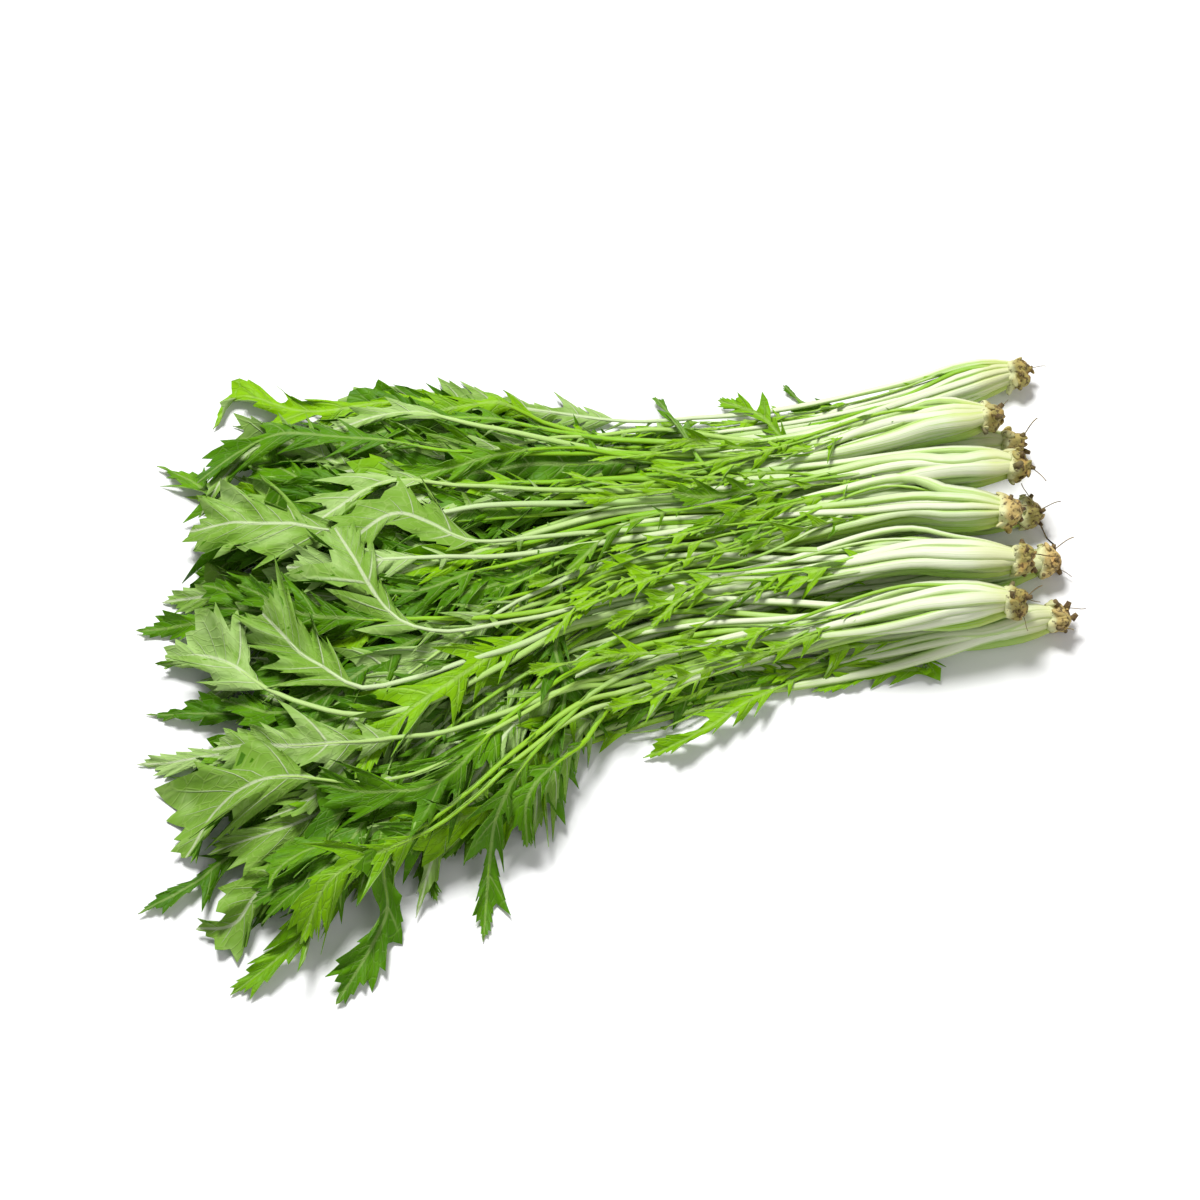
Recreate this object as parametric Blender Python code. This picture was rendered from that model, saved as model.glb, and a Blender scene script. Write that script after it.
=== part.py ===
"""A bunch of mizuna lying on a flat surface: ten cut heads, each a root crown with its leafy stems.

Metres, +Z up. The cut crowns are at +X and the leaves fan out towards -X. The viewer stands at -Y.
The stems are laid one by one, head after head, each on top of what lies there already, so that no
head cuts through another. Every stem is a stalk that widens into a jagged leaf, swept along a route.
"""

import math
import random

import bmesh
import bpy
import numpy as np

MM = 0.001

# The photograph's view, which places the routes: 0.34 mm to a pixel makes the longest stems 0.31 m
VIEW_HEIGHT_ANGLE = math.radians(60)
VIEW_DISTANCE = 1.6
PIXEL = 0.34 * MM
MIDDLE_PIXEL = 600
CENTRE_OFFSET = (-1.2 * MM, 29.5 * MM)

# Stalks and blades
STALK_BASE = (2.7 * MM, 1.6 * MM)
STALK_MIDDLE = (1.9 * MM, 1.3 * MM)
STALK_NECK = (1.2 * MM, 0.9 * MM)
STALK_EDGE = 0.5 * MM
RIB_TIP = 0.5 * MM
BLADE_HALF_THICKNESS = 0.34 * MM
TIP_HALF_WIDTH = 0.5 * MM
BASE_LENGTH = 45 * MM
STALK_STATIONS = (0.0, 22 * MM, 60 * MM, 105 * MM, 160 * MM)
STATION_GAP = 16 * MM
LOBED, SWEPT = 0.88, 0.85

# Heads
STALK_RING = 5.2 * MM
STALK_START = (1.5 * MM, 0.0)
GATHERED = 0.7
HEART_PROFILE = ((0.0, 5.2), (-6.0, 6.2), (-15.0, 5.2), (-24.0, 2.8))
HEART_SIDES = 10
CROWN_GAP = 0.3 * MM
CROWN_PROFILE = ((0.0, 4.8), (1.6, 6.0), (4.4, 5.6), (6.6, 4.4), (8.4, 3.2))
CROWN_SIDES = 9
HEAD_RADIUS = STALK_RING + STALK_BASE[1]
PRESSED = 0.7 * MM
FLATTENED = 0.6 * MM
CROWN_AREA = np.array([(x, y) for x in range(-16, 10, 2) for y in range(-6, 7, 2)]) * MM
STEMS_PER_HEAD = 15
SOLID_STEMS = 5
BUNDLE = (8.6 * MM, 2.4 * MM)
LEAF_LAYER = 1.2 * MM

# The pile's height grid
CELL = 2 * MM
GRID_LOW = (-0.20, -0.21)
GRID_CELLS = (200, 170)
CLEARANCE = 0.7 * MM
SAMPLE = 1.6 * MM
WIDENED = 1
BLURRED = 12
FREE_FROM, FREE_BY = 22 * MM, 70 * MM
BUNDLE_FROM, BUNDLE_BY = 70 * MM, 150 * MM

GREEN = (0.16, 0.36, 0.05)
ROOT_BROWN = (0.42, 0.30, 0.12)

# Head name: crown pixel, pixel where its stalks part, and its share of the leaf edge
HEADS = {
    "back_low": ((1006, 374), (884, 410), (0.00, 0.14)),
    "inner_low": ((1000, 446), (860, 462), (0.10, 0.34)),
    "middle_low": ((1018, 514), (890, 518), (0.24, 0.50)),
    "front_low": ((1036, 562), (900, 580), (0.42, 0.74)),
    "edge_low": ((1046, 618), (900, 650), (0.66, 0.98)),
    "back_top": ((979, 417), (860, 430), (0.03, 0.22)),
    "inner_top": ((1006, 466), (870, 464), (0.12, 0.40)),
    "middle_top": ((997, 512), (880, 498), (0.26, 0.52)),
    "front_top": ((1010, 560), (880, 545), (0.40, 0.66)),
    "edge_top": ((1003, 602), (880, 600), (0.56, 0.90)),
}

# The edge of the fan of leaves, from the back round to the front, in pixels
LEAF_EDGE = (
    (240, 412), (195, 470), (180, 540), (170, 620), (170, 700), (185, 780),
    (195, 860), (235, 915), (300, 930), (370, 905), (440, 850), (505, 775),
)

# Where the stems draw together before the leaves, from the back to the front, in pixels
WAIST = ((650, 436), (600, 728))

# The leafy stems that show: head, pixels the rib passes after the stalks part, blade length,
# blade half width, depth of its cuts and which side lies up
SHOWN_STEMS = (
    ("back_low", ((600, 438), (430, 406), (320, 418), (243, 398), (213, 428)), 88, 12, 0.7, "top"),
    ("back_low", ((700, 432), (560, 430), (520, 416), (488, 401)), 30, 6, 0.8, "top"),
    ("back_low", ((830, 404), (806, 402), (783, 384)), 22, 4, 0.8, "top"),
    ("inner_low", ((600, 470), (400, 480), (240, 500), (190, 482), (157, 466)), 60, 8, 0.8, "top"),
    ("middle_low", ((600, 560), (400, 590), (230, 592), (162, 600)), 60, 11, 0.7, "under"),
    ("middle_low", ((600, 600), (400, 640), (230, 622), (136, 630)), 62, 10, 0.7, "top"),
    ("front_low", ((600, 650), (400, 700), (260, 712), (146, 713)), 72, 9, 0.7, "top"),
    ("front_low", ((600, 680), (400, 750), (240, 752), (137, 763)), 62, 11, 0.6, "under"),
    ("front_low", ((600, 700), (420, 810), (250, 850), (196, 885), (138, 914)), 66, 9, 0.8, "top"),
    ("edge_low", ((600, 722), (450, 810), (330, 905), (300, 945), (230, 994)), 66, 13, 0.6, "top"),
    ("edge_low", ((600, 730), (450, 830), (280, 880), (235, 925), (196, 928)), 52, 13, 0.4, "under"),
    ("edge_low", ((760, 700), (700, 738), (643, 757)), 52, 8, 0.7, "top"),
    ("edge_low", ((930, 664), (880, 672), (812, 690)), 50, 7, 0.7, "top"),
    ("back_top", ((650, 452), (500, 450), (330, 438), (250, 446), (197, 482)), 72, 15, 0.8, "top"),
    ("back_top", ((800, 436), (760, 414), (718, 399)), 34, 7, 0.9, "top"),
    ("inner_top", ((760, 466), (705, 462), (682, 430), (655, 396)), 34, 7, 0.9, "top"),
    ("inner_top", ((620, 500), (480, 500), (340, 520), (250, 519), (190, 530)), 62, 22, 0.3, "under"),
    ("inner_top", ((600, 487), (470, 480), (390, 474), (335, 500), (292, 530)), 52, 14, 0.7, "under"),
    ("middle_top", ((600, 528), (480, 534), (430, 514), (390, 505), (340, 532)), 54, 16, 0.5, "under"),
    ("middle_top", ((600, 540), (440, 545), (350, 548), (285, 554)), 44, 12, 0.4, "under"),
    ("middle_top", ((650, 560), (580, 585), (556, 640), (565, 690), (545, 750)), 52, 12, 0.9, "top"),
    ("front_top", ((650, 585), (530, 602), (420, 618), (375, 580), (332, 512)), 46, 15, 0.6, "under"),
    ("front_top", ((650, 600), (500, 640), (400, 668), (340, 668), (262, 606)), 48, 24, 0.6, "under"),
    ("front_top", ((680, 575), (560, 610), (460, 665), (390, 715), (354, 768)), 76, 14, 0.8, "top"),
    ("front_top", ((620, 610), (420, 690), (300, 690), (215, 660), (165, 656)), 46, 16, 0.4, "under"),
    ("edge_top", ((650, 640), (520, 700), (450, 765), (380, 785), (308, 772)), 66, 14, 0.7, "top"),
    ("edge_top", ((650, 660), (560, 720), (505, 790), (490, 850), (483, 940)), 60, 9, 0.8, "top"),
    ("edge_top", ((620, 690), (470, 780), (388, 850), (385, 920), (336, 1004)), 66, 13, 0.6, "top"),
    ("edge_top", ((620, 670), (420, 760), (275, 776), (218, 810), (186, 856)), 52, 21, 0.3, "under"),
    ("edge_top", ((650, 680), (580, 745), (530, 790), (527, 846)), 34, 8, 0.8, "top"),
)


def photo_point(pixel, height):
    """Plan point under a pixel of the photograph, for something that lies at this height."""
    across = (pixel[0] - MIDDLE_PIXEL) * PIXEL
    up = (MIDDLE_PIXEL - pixel[1]) * PIXEL
    rise, run = math.sin(VIEW_HEIGHT_ANGLE), math.cos(VIEW_HEIGHT_ANGLE)
    share = (VIEW_DISTANCE * rise - height) / (VIEW_DISTANCE * rise - up * run)
    y = -VIEW_DISTANCE * run + share * (VIEW_DISTANCE * run + up * rise)
    return np.array((share * across, y))


def ease(x, low, high):
    """0 below low, 1 above high, smooth between."""
    t = np.clip((np.asarray(x, float) - low) / (high - low), 0, 1)
    return t * t * (3 - 2 * t)


def smooth_route(points, spacing=2 * MM):
    """Plan points every 2 mm along a Catmull-Rom curve through the given points."""
    p = np.array([2 * points[0] - points[1], *points, 2 * points[-1] - points[-2]])
    t = np.linspace(0, 1, 24, endpoint=False)[:, None]
    runs = []
    for a, b, c, d in zip(p, p[1:], p[2:], p[3:]):
        runs.append(
            0.5 * (2 * b + (c - a) * t + (2 * a - 5 * b + 4 * c - d) * t**2 + (3 * b - a - 3 * c + d) * t**3)
        )
    curve = np.vstack([*runs, points[-1:]])
    along = np.concatenate([[0], np.cumsum(np.linalg.norm(np.diff(curve, axis=0), axis=1))])
    even = np.linspace(0, along[-1], max(2, round(along[-1] / spacing)))
    return np.stack([np.interp(even, along, curve[:, k]) for k in (0, 1)], 1), even


class LeafyStem:
    """One stalk with its leaf: a route in plan, the leaf's rows of points, and where it lies in its head."""

    def __init__(self, points, shape, place, seed):
        draw = random.Random(seed)
        self.route, self.even = smooth_route(np.array(points))
        self.length = self.even[-1]
        blade, width, self.cuts, side = shape
        self.blade = min(blade * MM, 0.55 * self.length)
        self.width = width * MM
        self.across, self.above = place
        self.turn = math.remainder(math.pi / 2 - math.atan2(self.above, self.across), math.pi)
        self.roll = math.radians(draw.uniform(-12, 12))
        self.flip = math.pi if side == "under" else 0.0
        self.fold = math.radians(draw.uniform(2, 14))
        self.wave = draw.uniform(0.4, 1.2) * MM
        self.phase = draw.uniform(0, 2 * math.pi)
        self.layer = (1 + self.above + draw.uniform(0, 0.8)) * LEAF_LAYER
        self.uneven = [draw.uniform(0.78, 1.12) for _ in range(24)]
        self.make_rows()

    def make_rows(self):
        """Rows across the stem: place on the rib, place of the edges and how far they reach."""
        bare = self.length - self.blade
        lobes = 3 if self.blade < 40 * MM else 4
        rows = [(s, s, 0.0) for s in STALK_STATIONS if s < bare - 1.6 * STATION_GAP]
        rows.append((bare, bare, 0.0))
        for k in range(lobes):
            middle, notch = LOBED * (k + 0.45) / lobes, LOBED * (k + 1) / lobes
            reach = self.width * (0.5 + 0.5 * float(ease(middle, 0, 0.5)))
            reach *= 1 - 0.45 * float(ease(middle, 0.4, 0.8))
            sweep = SWEPT * reach
            place = bare + middle * self.blade
            rows.append((place, min(place + sweep, self.length - 2 * MM), reach))
            if k < lobes - 1:
                depth = 1 - self.cuts * (1.0 - 0.3 * notch)
                rows.append((bare + notch * self.blade, bare + notch * self.blade, reach * depth))
        rows.append((self.length, self.length, TIP_HALF_WIDTH))
        self.rows = np.array(rows)

    def plan(self, s):
        """Points and left-hand directions of the route at the distances s."""
        s = np.asarray(s, float)
        here = np.stack([np.interp(s, self.even, self.route[:, k]) for k in (0, 1)], -1)
        slope = np.gradient(self.route, self.even, axis=0)
        ahead = np.stack([np.interp(s, self.even, slope[:, k]) for k in (0, 1)], -1)
        ahead /= np.linalg.norm(ahead, axis=-1, keepdims=True)
        return here, np.stack([-ahead[..., 1], ahead[..., 0]], -1)

    def bend(self, s):
        """Signed curvature of the route at s, positive where it turns left."""
        _, left = self.plan(self.even)
        turn = np.gradient(np.unwrap(np.arctan2(left[:, 1], left[:, 0])), self.even)
        return float(np.interp(s, self.even, turn))

    def stalk(self, s):
        """Half width and half thickness of the stalk or rib at s."""
        bare = self.length - self.blade
        places = (0, BASE_LENGTH, 0.5 * (BASE_LENGTH + bare), bare, self.length)
        if bare < 1.4 * BASE_LENGTH:
            places = (0, 0.3 * bare, 0.6 * bare, bare, self.length)
        widths = (STALK_BASE[0], 0.8 * STALK_BASE[0], STALK_MIDDLE[0], STALK_NECK[0], TIP_HALF_WIDTH)
        depths = (STALK_BASE[1], 0.95 * STALK_BASE[1], STALK_MIDDLE[1], STALK_NECK[1], RIB_TIP)
        return float(np.interp(s, places, widths)), float(np.interp(s, places, depths))

    def sections(self):
        """Six points for each row, with the rib lying at height 0, and the row's half thicknesses."""
        bare = self.length - self.blade
        found, halves = [], []
        for rib, edge, reach in self.rows:
            half_width, half_depth = self.stalk(rib)
            leafy = reach > half_width
            edge_half = BLADE_HALF_THICKNESS if leafy or rib > bare else STALK_EDGE
            roll = self.turn * (1 - float(ease(rib, 0.3 * BASE_LENGTH, 2 * BASE_LENGTH)))
            roll += (self.roll + self.flip) * float(ease(rib, BASE_LENGTH, bare))
            middle, left = self.plan(rib)
            level, up = np.array((*left, 0.0)), np.array((0.0, 0.0, 1.0))
            across = math.cos(roll) * level + math.sin(roll) * up
            normal = -math.sin(roll) * level + math.cos(roll) * up
            centre = np.array((*middle, 0.0))
            ring = [centre + half_depth * normal, None, None, centre - half_depth * normal, None, None]
            for side, top, low in ((1, 1, 2), (-1, 5, 4)):
                wide = half_width
                if leafy:
                    wide = reach * self.uneven[(int(rib * 900) + 5 * top) % len(self.uneven)]
                    inner = self.bend(rib) * side * (1 if math.cos(roll) > 0 else -1)
                    wide = min(wide, 0.75 / inner) if inner > 1 else wide
                lift = math.sin(self.fold) * wide
                if leafy:
                    lift += self.wave * math.sin(self.phase + rib * 240 + side)
                base, base_left = self.plan(edge)
                sideways = math.cos(roll) * np.array((*base_left, 0.0)) + math.sin(roll) * up
                outer = np.array((*base, 0.0)) + side * wide * math.cos(self.fold) * sideways
                outer = outer + lift * normal
                ring[top] = outer + edge_half * normal
                ring[low] = outer - edge_half * normal
            found.append(ring)
            halves.append((half_depth, edge_half))
        return np.array(found), np.array(halves)


class Pile:
    """How high the bunch stands at each place so far, on a grid in plan."""

    def __init__(self):
        self.settled = np.zeros(GRID_CELLS)
        self.current = np.zeros(GRID_CELLS)
        self.smooth = np.zeros(GRID_CELLS)

    @staticmethod
    def cells(points):
        index = np.floor((points[..., :2] - np.array(GRID_LOW)) / CELL).astype(int)
        return tuple(np.clip(index[..., k], 0, GRID_CELLS[k] - 1) for k in (0, 1))

    @staticmethod
    def neighbours(heights):
        padded = np.pad(heights, 1, mode="edge")
        nx, ny = heights.shape
        return [padded[i:i + nx, j:j + ny] for i in range(3) for j in range(3)]

    def stamp(self, points):
        np.maximum.at(self.current, self.cells(points), points[..., 2])

    def settle(self):
        """Ends a head: what lies there now counts for the heads to come."""
        self.settled = self.current.copy()
        self.ground = np.max(self.neighbours(self.settled), axis=0)
        self.smooth = self.settled
        for _ in range(WIDENED):
            self.smooth = np.max(self.neighbours(self.smooth), axis=0)
        for _ in range(BLURRED):
            self.smooth = np.mean(self.neighbours(self.smooth), axis=0)

    def under(self, points):
        """The smooth height of what lies under these points, and a little clearance."""
        low = self.smooth[self.cells(points)]
        return low + CLEARANCE * np.clip(low / MM, 0, 1) - PRESSED * np.clip(1 - low / MM, 0, 1)


def spread_samples(sections, halves):
    """For each gap between two rows, points all over the stem with their half thickness."""
    middles = (sections[:, 0] + sections[:, 3]) / 2
    sides = [(sections[:, a] + sections[:, b]) / 2 for a, b in ((1, 2), (5, 4))]
    gaps = []
    for i in range(len(sections) - 1):
        points, thick = [], []
        for edge in sides:
            corners = middles[i], middles[i + 1], edge[i], edge[i + 1]
            size = max(np.linalg.norm(a - b) for a in corners for b in corners)
            steps = int(min(24, max(3, math.ceil(size / SAMPLE))))
            t, u = (g[..., None] for g in np.meshgrid(*2 * [np.linspace(0, 1, steps)], indexing="ij"))
            inner = corners[0] * (1 - t) + corners[1] * t
            outer = corners[2] * (1 - t) + corners[3] * t
            points.append((inner * (1 - u) + outer * u).reshape(-1, 3))
            half = halves[i] * (1 - t) + halves[i + 1] * t
            thick.append((half[..., :1] * (1 - u) + half[..., 1:] * u).reshape(-1))
        gaps.append((np.vstack(points), np.concatenate(thick)))
    return gaps


def lay_stem(stem, pile, crown_height):
    """Gives the stem's rows their heights: from the crown's ring down onto the pile."""
    sections, halves = stem.sections()
    ribs = stem.rows[:, 0]
    lying = ease(ribs, FREE_FROM, FREE_BY)[:, None]
    bundled = 1 - ease(ribs, BUNDLE_FROM, BUNDLE_BY)[:, None]
    relative = sections[..., 2]
    rest = pile.under(sections) + bundled * (1 + stem.above) * BUNDLE[1] + (1 - bundled) * stem.layer
    rest += relative - relative.min(1, keepdims=True) * (1 - bundled)
    ring = crown_height + stem.above * STALK_RING + relative
    sections[..., 2] = (1 - lying) * ring + lying * rest
    raised = np.zeros(len(ribs))
    for i, (points, thick) in enumerate(spread_samples(sections, halves)):
        ground = pile.ground[Pile.cells(points)]
        floor = np.where(ground > 0, ground + CLEARANCE, -PRESSED)
        short = float((floor - points[:, 2] + thick).max())
        raised[i:i + 2] = np.maximum(raised[i:i + 2], short)
    sections[..., 2] += raised[:, None]
    for points, thick in spread_samples(sections, halves):
        pile.stamp(np.column_stack([points[:, :2], points[:, 2] + thick]))
    stem.solid_rows = sections
    return raised.max()


def edge_pixel(share):
    """A pixel on the edge of the fan of leaves, from 0 at the back to 1 at the front."""
    edge = np.array(LEAF_EDGE, float)
    place = share * (len(edge) - 1)
    return [float(np.interp(place, range(len(edge)), edge[:, k])) for k in (0, 1)]


def lying_point(pixel, pile):
    """Plan point under a pixel for something that lies on the pile there."""
    height = 2 * LEAF_LAYER
    while height < pile.under(photo_point(pixel, height)) + 2 * LEAF_LAYER:
        height += 0.5 * MM
    return photo_point(pixel, height)


def head_stems(name, order, pile):
    """The plans of a head's stems: the shown ones, then those that fill the bunch."""
    _, _, (first, last) = HEADS[name]
    draw = random.Random(100 + order)
    plans = []
    for head, pixels, *shape in SHOWN_STEMS:
        if head == name:
            plans.append(([lying_point(p, pile) for p in pixels], shape, True))
    while len(plans) < STEMS_PER_HEAD:
        share = first + (last - first) * draw.random()
        short = draw.uniform(0.0, 0.34)
        waist = [a + share * (b - a) for a, b in zip(*WAIST)]
        tip = [a + short * (b - a) for a, b in zip(edge_pixel(share), waist)]
        neck = [0.55 * tip[j] + 0.45 * waist[j] + draw.gauss(0, 14) for j in (0, 1)]
        pixels = [waist, neck, [tip[0], tip[1] + draw.gauss(0, 14)]]
        side = "under" if draw.random() < 0.4 else "top"
        shape = (draw.uniform(50, 84), draw.uniform(7, 15), draw.uniform(0.4, 0.9), side)
        plans.append(([lying_point(p, pile) for p in pixels], shape, len(plans) < SOLID_STEMS))
    return plans


def crown_place(pixel, pile):
    """The lowest place on the pile where a head's crown shows at the pixel, as a plan point and height."""
    height = HEAD_RADIUS - PRESSED
    while True:
        crown = photo_point(pixel, height)
        under = pile.ground[Pile.cells(crown + CROWN_AREA)].max()
        if under <= 0 or height >= under + HEAD_RADIUS + CLEARANCE:
            return crown, height
        height += 0.5 * MM


def lay_head(name, order, pile):
    """Lays one head on the pile and returns its crown point and its stems."""
    crown_pixel, part_pixel, _ = HEADS[name]
    crown, height = crown_place(crown_pixel, pile)
    parting = photo_point(part_pixel, height)
    plans = sorted(head_stems(name, order, pile), key=lambda plan: -plan[0][1][1])
    laid = []
    for k, (points, shape, solid) in enumerate(plans):
        across = 1 - 2 * (k + 0.5) / len(plans)
        above = math.sqrt(1 - across * across) * (1 if k % 2 else -1)
        offset = np.array((0.0, across))
        start = [
            crown - STALK_START + GATHERED * STALK_RING * offset,
            crown + 0.4 * (parting - crown) + (0.4 * STALK_RING + 0.6 * BUNDLE[0]) * offset,
            parting + BUNDLE[0] * offset,
        ]
        stem = LeafyStem([*start, *points], shape, (across, above), 1000 * order + k)
        stem.in_solid = solid
        laid.append((lay_stem(stem, pile, height), stem))
    disc = np.array([(*(crown + a), height + HEAD_RADIUS) for a in CROWN_AREA])
    pile.stamp(disc)
    pile.settle()
    return np.array((*crown, height)), [stem for _, stem in laid]


def material(name, colour, roughness):
    made = bpy.data.materials.new(name)
    made.use_nodes = True
    shader = made.node_tree.nodes["Principled BSDF"]
    shader.inputs["Base Color"].default_value = (*colour, 1)
    shader.inputs["Roughness"].default_value = roughness
    shader.inputs["Metallic"].default_value = 0
    return made


def mesh_object(name, points, faces, collection=None):
    """An object from points and faces, its faces turned outwards."""
    mesh = bpy.data.meshes.new(name)
    mesh.from_pydata([tuple(p) for p in points], [], faces)
    shape = bmesh.new()
    shape.from_mesh(mesh)
    bmesh.ops.recalc_face_normals(shape, faces=shape.faces)
    shape.to_mesh(mesh)
    shape.free()
    made = bpy.data.objects.new(name, mesh)
    (collection or bpy.context.scene.collection).objects.link(made)
    return made


def stem_object(stem, name, collection):
    """The stem's solid: its rows joined by triangles that run alike on the upper and lower face."""
    rows = stem.solid_rows.copy()
    upper, lower = rows[:, (0, 1, 5)], rows[:, (3, 2, 4)]
    swapped = upper[..., 2] < lower[..., 2]
    thickness = 2 * BLADE_HALF_THICKNESS
    for points, is_lower in ((upper, swapped), (lower, ~swapped)):
        resting = is_lower & (points[..., 2] < FLATTENED)
        points[..., 2] = np.where(resting, 0, np.maximum(points[..., 2], np.where(is_lower, 0, thickness)))
    rows[:, (0, 1, 5)], rows[:, (3, 2, 4)] = upper, lower
    rows[..., :2] += CENTRE_OFFSET
    count = len(rows)
    reach = np.linalg.norm(rows[:, (1, 5), :2] - rows[:, :1, :2], axis=2)
    faces = [(0, 1, 2, 3), (0, 3, 4, 5)]
    last = 6 * (count - 1)
    faces += [(last, last + 3, last + 2, last + 1), (last, last + 5, last + 4, last + 3)]
    for i in range(count - 1):
        for side, inner, outer in ((0, 0, 1), (0, 3, 2), (1, 0, 5), (1, 3, 4)):
            a, b = 6 * i + inner, 6 * i + outer
            c, d = a + 6, b + 6
            if reach[i + 1, side] < reach[i, side]:
                faces += [(a, b, d), (a, d, c)]
            else:
                faces += [(a, b, c), (b, d, c)]
        for top, low in ((1, 2), (5, 4)):
            a, b = 6 * i + top, 6 * i + low
            faces += [(a, b, b + 6), (a, b + 6, a + 6)]
    return mesh_object(name, rows.reshape(-1, 3), faces, collection)


def spun(name, profile, sides, crown, wobble, seed, collection=None):
    """A knobbly round solid about a line along X through the crown point, flat where it rests."""
    draw = random.Random(seed)
    points = []
    for along, radius in profile:
        for k in range(sides):
            angle = 2 * math.pi * k / sides
            r = radius * MM * (1 + wobble * draw.uniform(-1, 1))
            points.append((
                crown[0] + CENTRE_OFFSET[0] + along * MM,
                crown[1] + CENTRE_OFFSET[1] + r * math.cos(angle),
                max(0.0, crown[2] + r * math.sin(angle)),
            ))
    rings = len(profile)
    faces = [tuple(range(sides)), tuple(range((rings - 1) * sides, rings * sides))]
    for i in range(rings - 1):
        for k in range(sides):
            a, b = i * sides + k, i * sides + (k + 1) % sides
            faces += [(a, b, b + sides), (a, b + sides, a + sides)]
    return mesh_object(name, points, faces, collection)


def fill_cavities(mesh):
    """Removes the small closed shells that the join leaves in between, and keeps the outer one."""
    shape = bmesh.new()
    shape.from_mesh(mesh)
    left = set(shape.verts)
    shells = []
    while left:
        shell, edge = set(), [left.pop()]
        while edge:
            vertex = edge.pop()
            shell.add(vertex)
            near = {e.other_vert(vertex) for e in vertex.link_edges} & left
            left -= near
            edge.extend(near)
        shells.append(shell)
    shells.sort(key=len)
    for shell in shells[:-1]:
        bmesh.ops.delete(shape, geom=list(shell), context="VERTS")
    shape.to_mesh(mesh)
    shape.free()


def joined(base, repeats):
    """Joins a collection of closed shapes to base as one body, and removes the collection."""
    union = base.modifiers.new("join", "BOOLEAN")
    union.operation = "UNION"
    union.operand_type = "COLLECTION"
    union.collection = repeats
    union.solver = "MANIFOLD"
    graph = bpy.context.evaluated_depsgraph_get()
    whole = bpy.data.meshes.new_from_object(base.evaluated_get(graph))
    base.modifiers.clear()
    base.data = whole
    fill_cavities(whole)
    for helper in list(repeats.objects):
        bpy.data.objects.remove(helper)
    bpy.data.collections.remove(repeats)
    return base


def build_head(name, crown, stems, green):
    """The leafy stems of one head as one body, held together by the white heart at their bases."""
    repeats = bpy.data.collections.new("stems_of_" + name)
    bpy.context.scene.collection.children.link(repeats)
    for k, stem in enumerate(s for s in stems if s.in_solid):
        stem_object(stem, f"stem_{name}_{k}", repeats)
    heart = spun("leafy_stems_" + name, HEART_PROFILE, HEART_SIDES, crown, 0, 0)
    head = joined(heart, repeats)
    head.data.materials.clear()
    head.data.materials.append(green)


def build_crown(name, order, crown, brown):
    """The cut root crown against the head's white base."""
    start = crown + np.array((CROWN_GAP, 0, 0))
    made = spun("root_crown_" + name, CROWN_PROFILE, CROWN_SIDES, start, 0.12, 50 + order)
    made.data.materials.append(brown)


def main():
    for old in list(bpy.data.objects):
        bpy.data.objects.remove(old)
    green = material("leaf_green", GREEN, 0.55)
    brown = material("root_brown", ROOT_BROWN, 0.8)
    pile = Pile()
    pile.settle()
    for order, name in enumerate(HEADS):
        crown, stems = lay_head(name, order, pile)
        build_head(name, crown, stems, green)
        build_crown(name, order, crown, brown)


main()
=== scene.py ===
"""A bunch of mizuna lying on a pale surface: ten cut heads, each with its leafy stems and root crown.

The stems are laid one by one, head after head, on top of what lies there already, along the routes
of the part's solids. Blades are grids swept along a stem's route. Stalks and crowns come from
Geometry Nodes. Everything is in metres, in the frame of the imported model.
"""

import math
import random

import bpy
import numpy as np
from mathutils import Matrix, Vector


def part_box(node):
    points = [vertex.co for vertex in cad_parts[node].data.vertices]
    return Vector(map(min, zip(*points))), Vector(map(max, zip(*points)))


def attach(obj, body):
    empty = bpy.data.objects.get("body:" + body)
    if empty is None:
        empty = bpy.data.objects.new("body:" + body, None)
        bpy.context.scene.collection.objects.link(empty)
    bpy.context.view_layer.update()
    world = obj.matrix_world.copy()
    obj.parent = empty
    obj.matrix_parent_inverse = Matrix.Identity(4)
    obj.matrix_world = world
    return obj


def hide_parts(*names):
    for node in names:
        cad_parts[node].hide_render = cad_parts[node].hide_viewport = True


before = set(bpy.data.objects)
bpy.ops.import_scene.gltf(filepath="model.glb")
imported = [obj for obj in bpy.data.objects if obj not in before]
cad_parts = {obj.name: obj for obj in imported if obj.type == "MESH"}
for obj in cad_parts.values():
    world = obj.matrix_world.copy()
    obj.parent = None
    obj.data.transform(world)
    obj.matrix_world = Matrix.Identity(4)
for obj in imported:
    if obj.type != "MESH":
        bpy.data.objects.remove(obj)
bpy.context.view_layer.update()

MM = 0.001

# The photograph's view, which places the routes
VIEW_HEIGHT_ANGLE = math.radians(60)
VIEW_DISTANCE = 1.6
PIXEL = 0.34 * MM
MIDDLE_PIXEL = 600
FRAME_PIXELS = 1200
SENSOR_MM = 36
CENTRE_OFFSET = np.array((-1.2 * MM, 29.5 * MM))
NEAREST_SEEN = 0.01

# Studio, with lamps as place, size and power
LAMPS = {"key": ((-0.35, 0.75, 1.5), 0.6, 38), "fill": ((0.9, -0.9, 1.2), 1.2, 6)}
ROOM_LIGHT = 0.3
FLOOR_HALF = 4
FLOOR_DROP = 0.2 * MM
PAPER = (0.86, 0.86, 0.86, 1)

# Heads: the ring of stalks in a crown, and how the stems are bundled beyond it
STALK_RING = 5.2 * MM
STALK_START = np.array((1.2 * MM, 0.0))
HEAD_RADIUS = 6.9 * MM
PRESSED = 0.7 * MM
CROWN_GAP = 0.3 * MM
CROWN_AREA = np.array([(x, y) for x in range(-16, 10, 2) for y in range(-6, 7, 2)]) * MM
INNER_RING = 0.6
GATHERED = 0.62
GATHERED_TO = 12 * MM
STEMS_PER_HEAD = 17
YOUNG_PER_HEAD = 8
BUNDLE = (8.2 * MM, 2.2 * MM)
STRAY = 1.3 * MM
LEAF_LAYER = 0.9 * MM
LOW_HEADS = 5
BESIDE = 0.4

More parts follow.
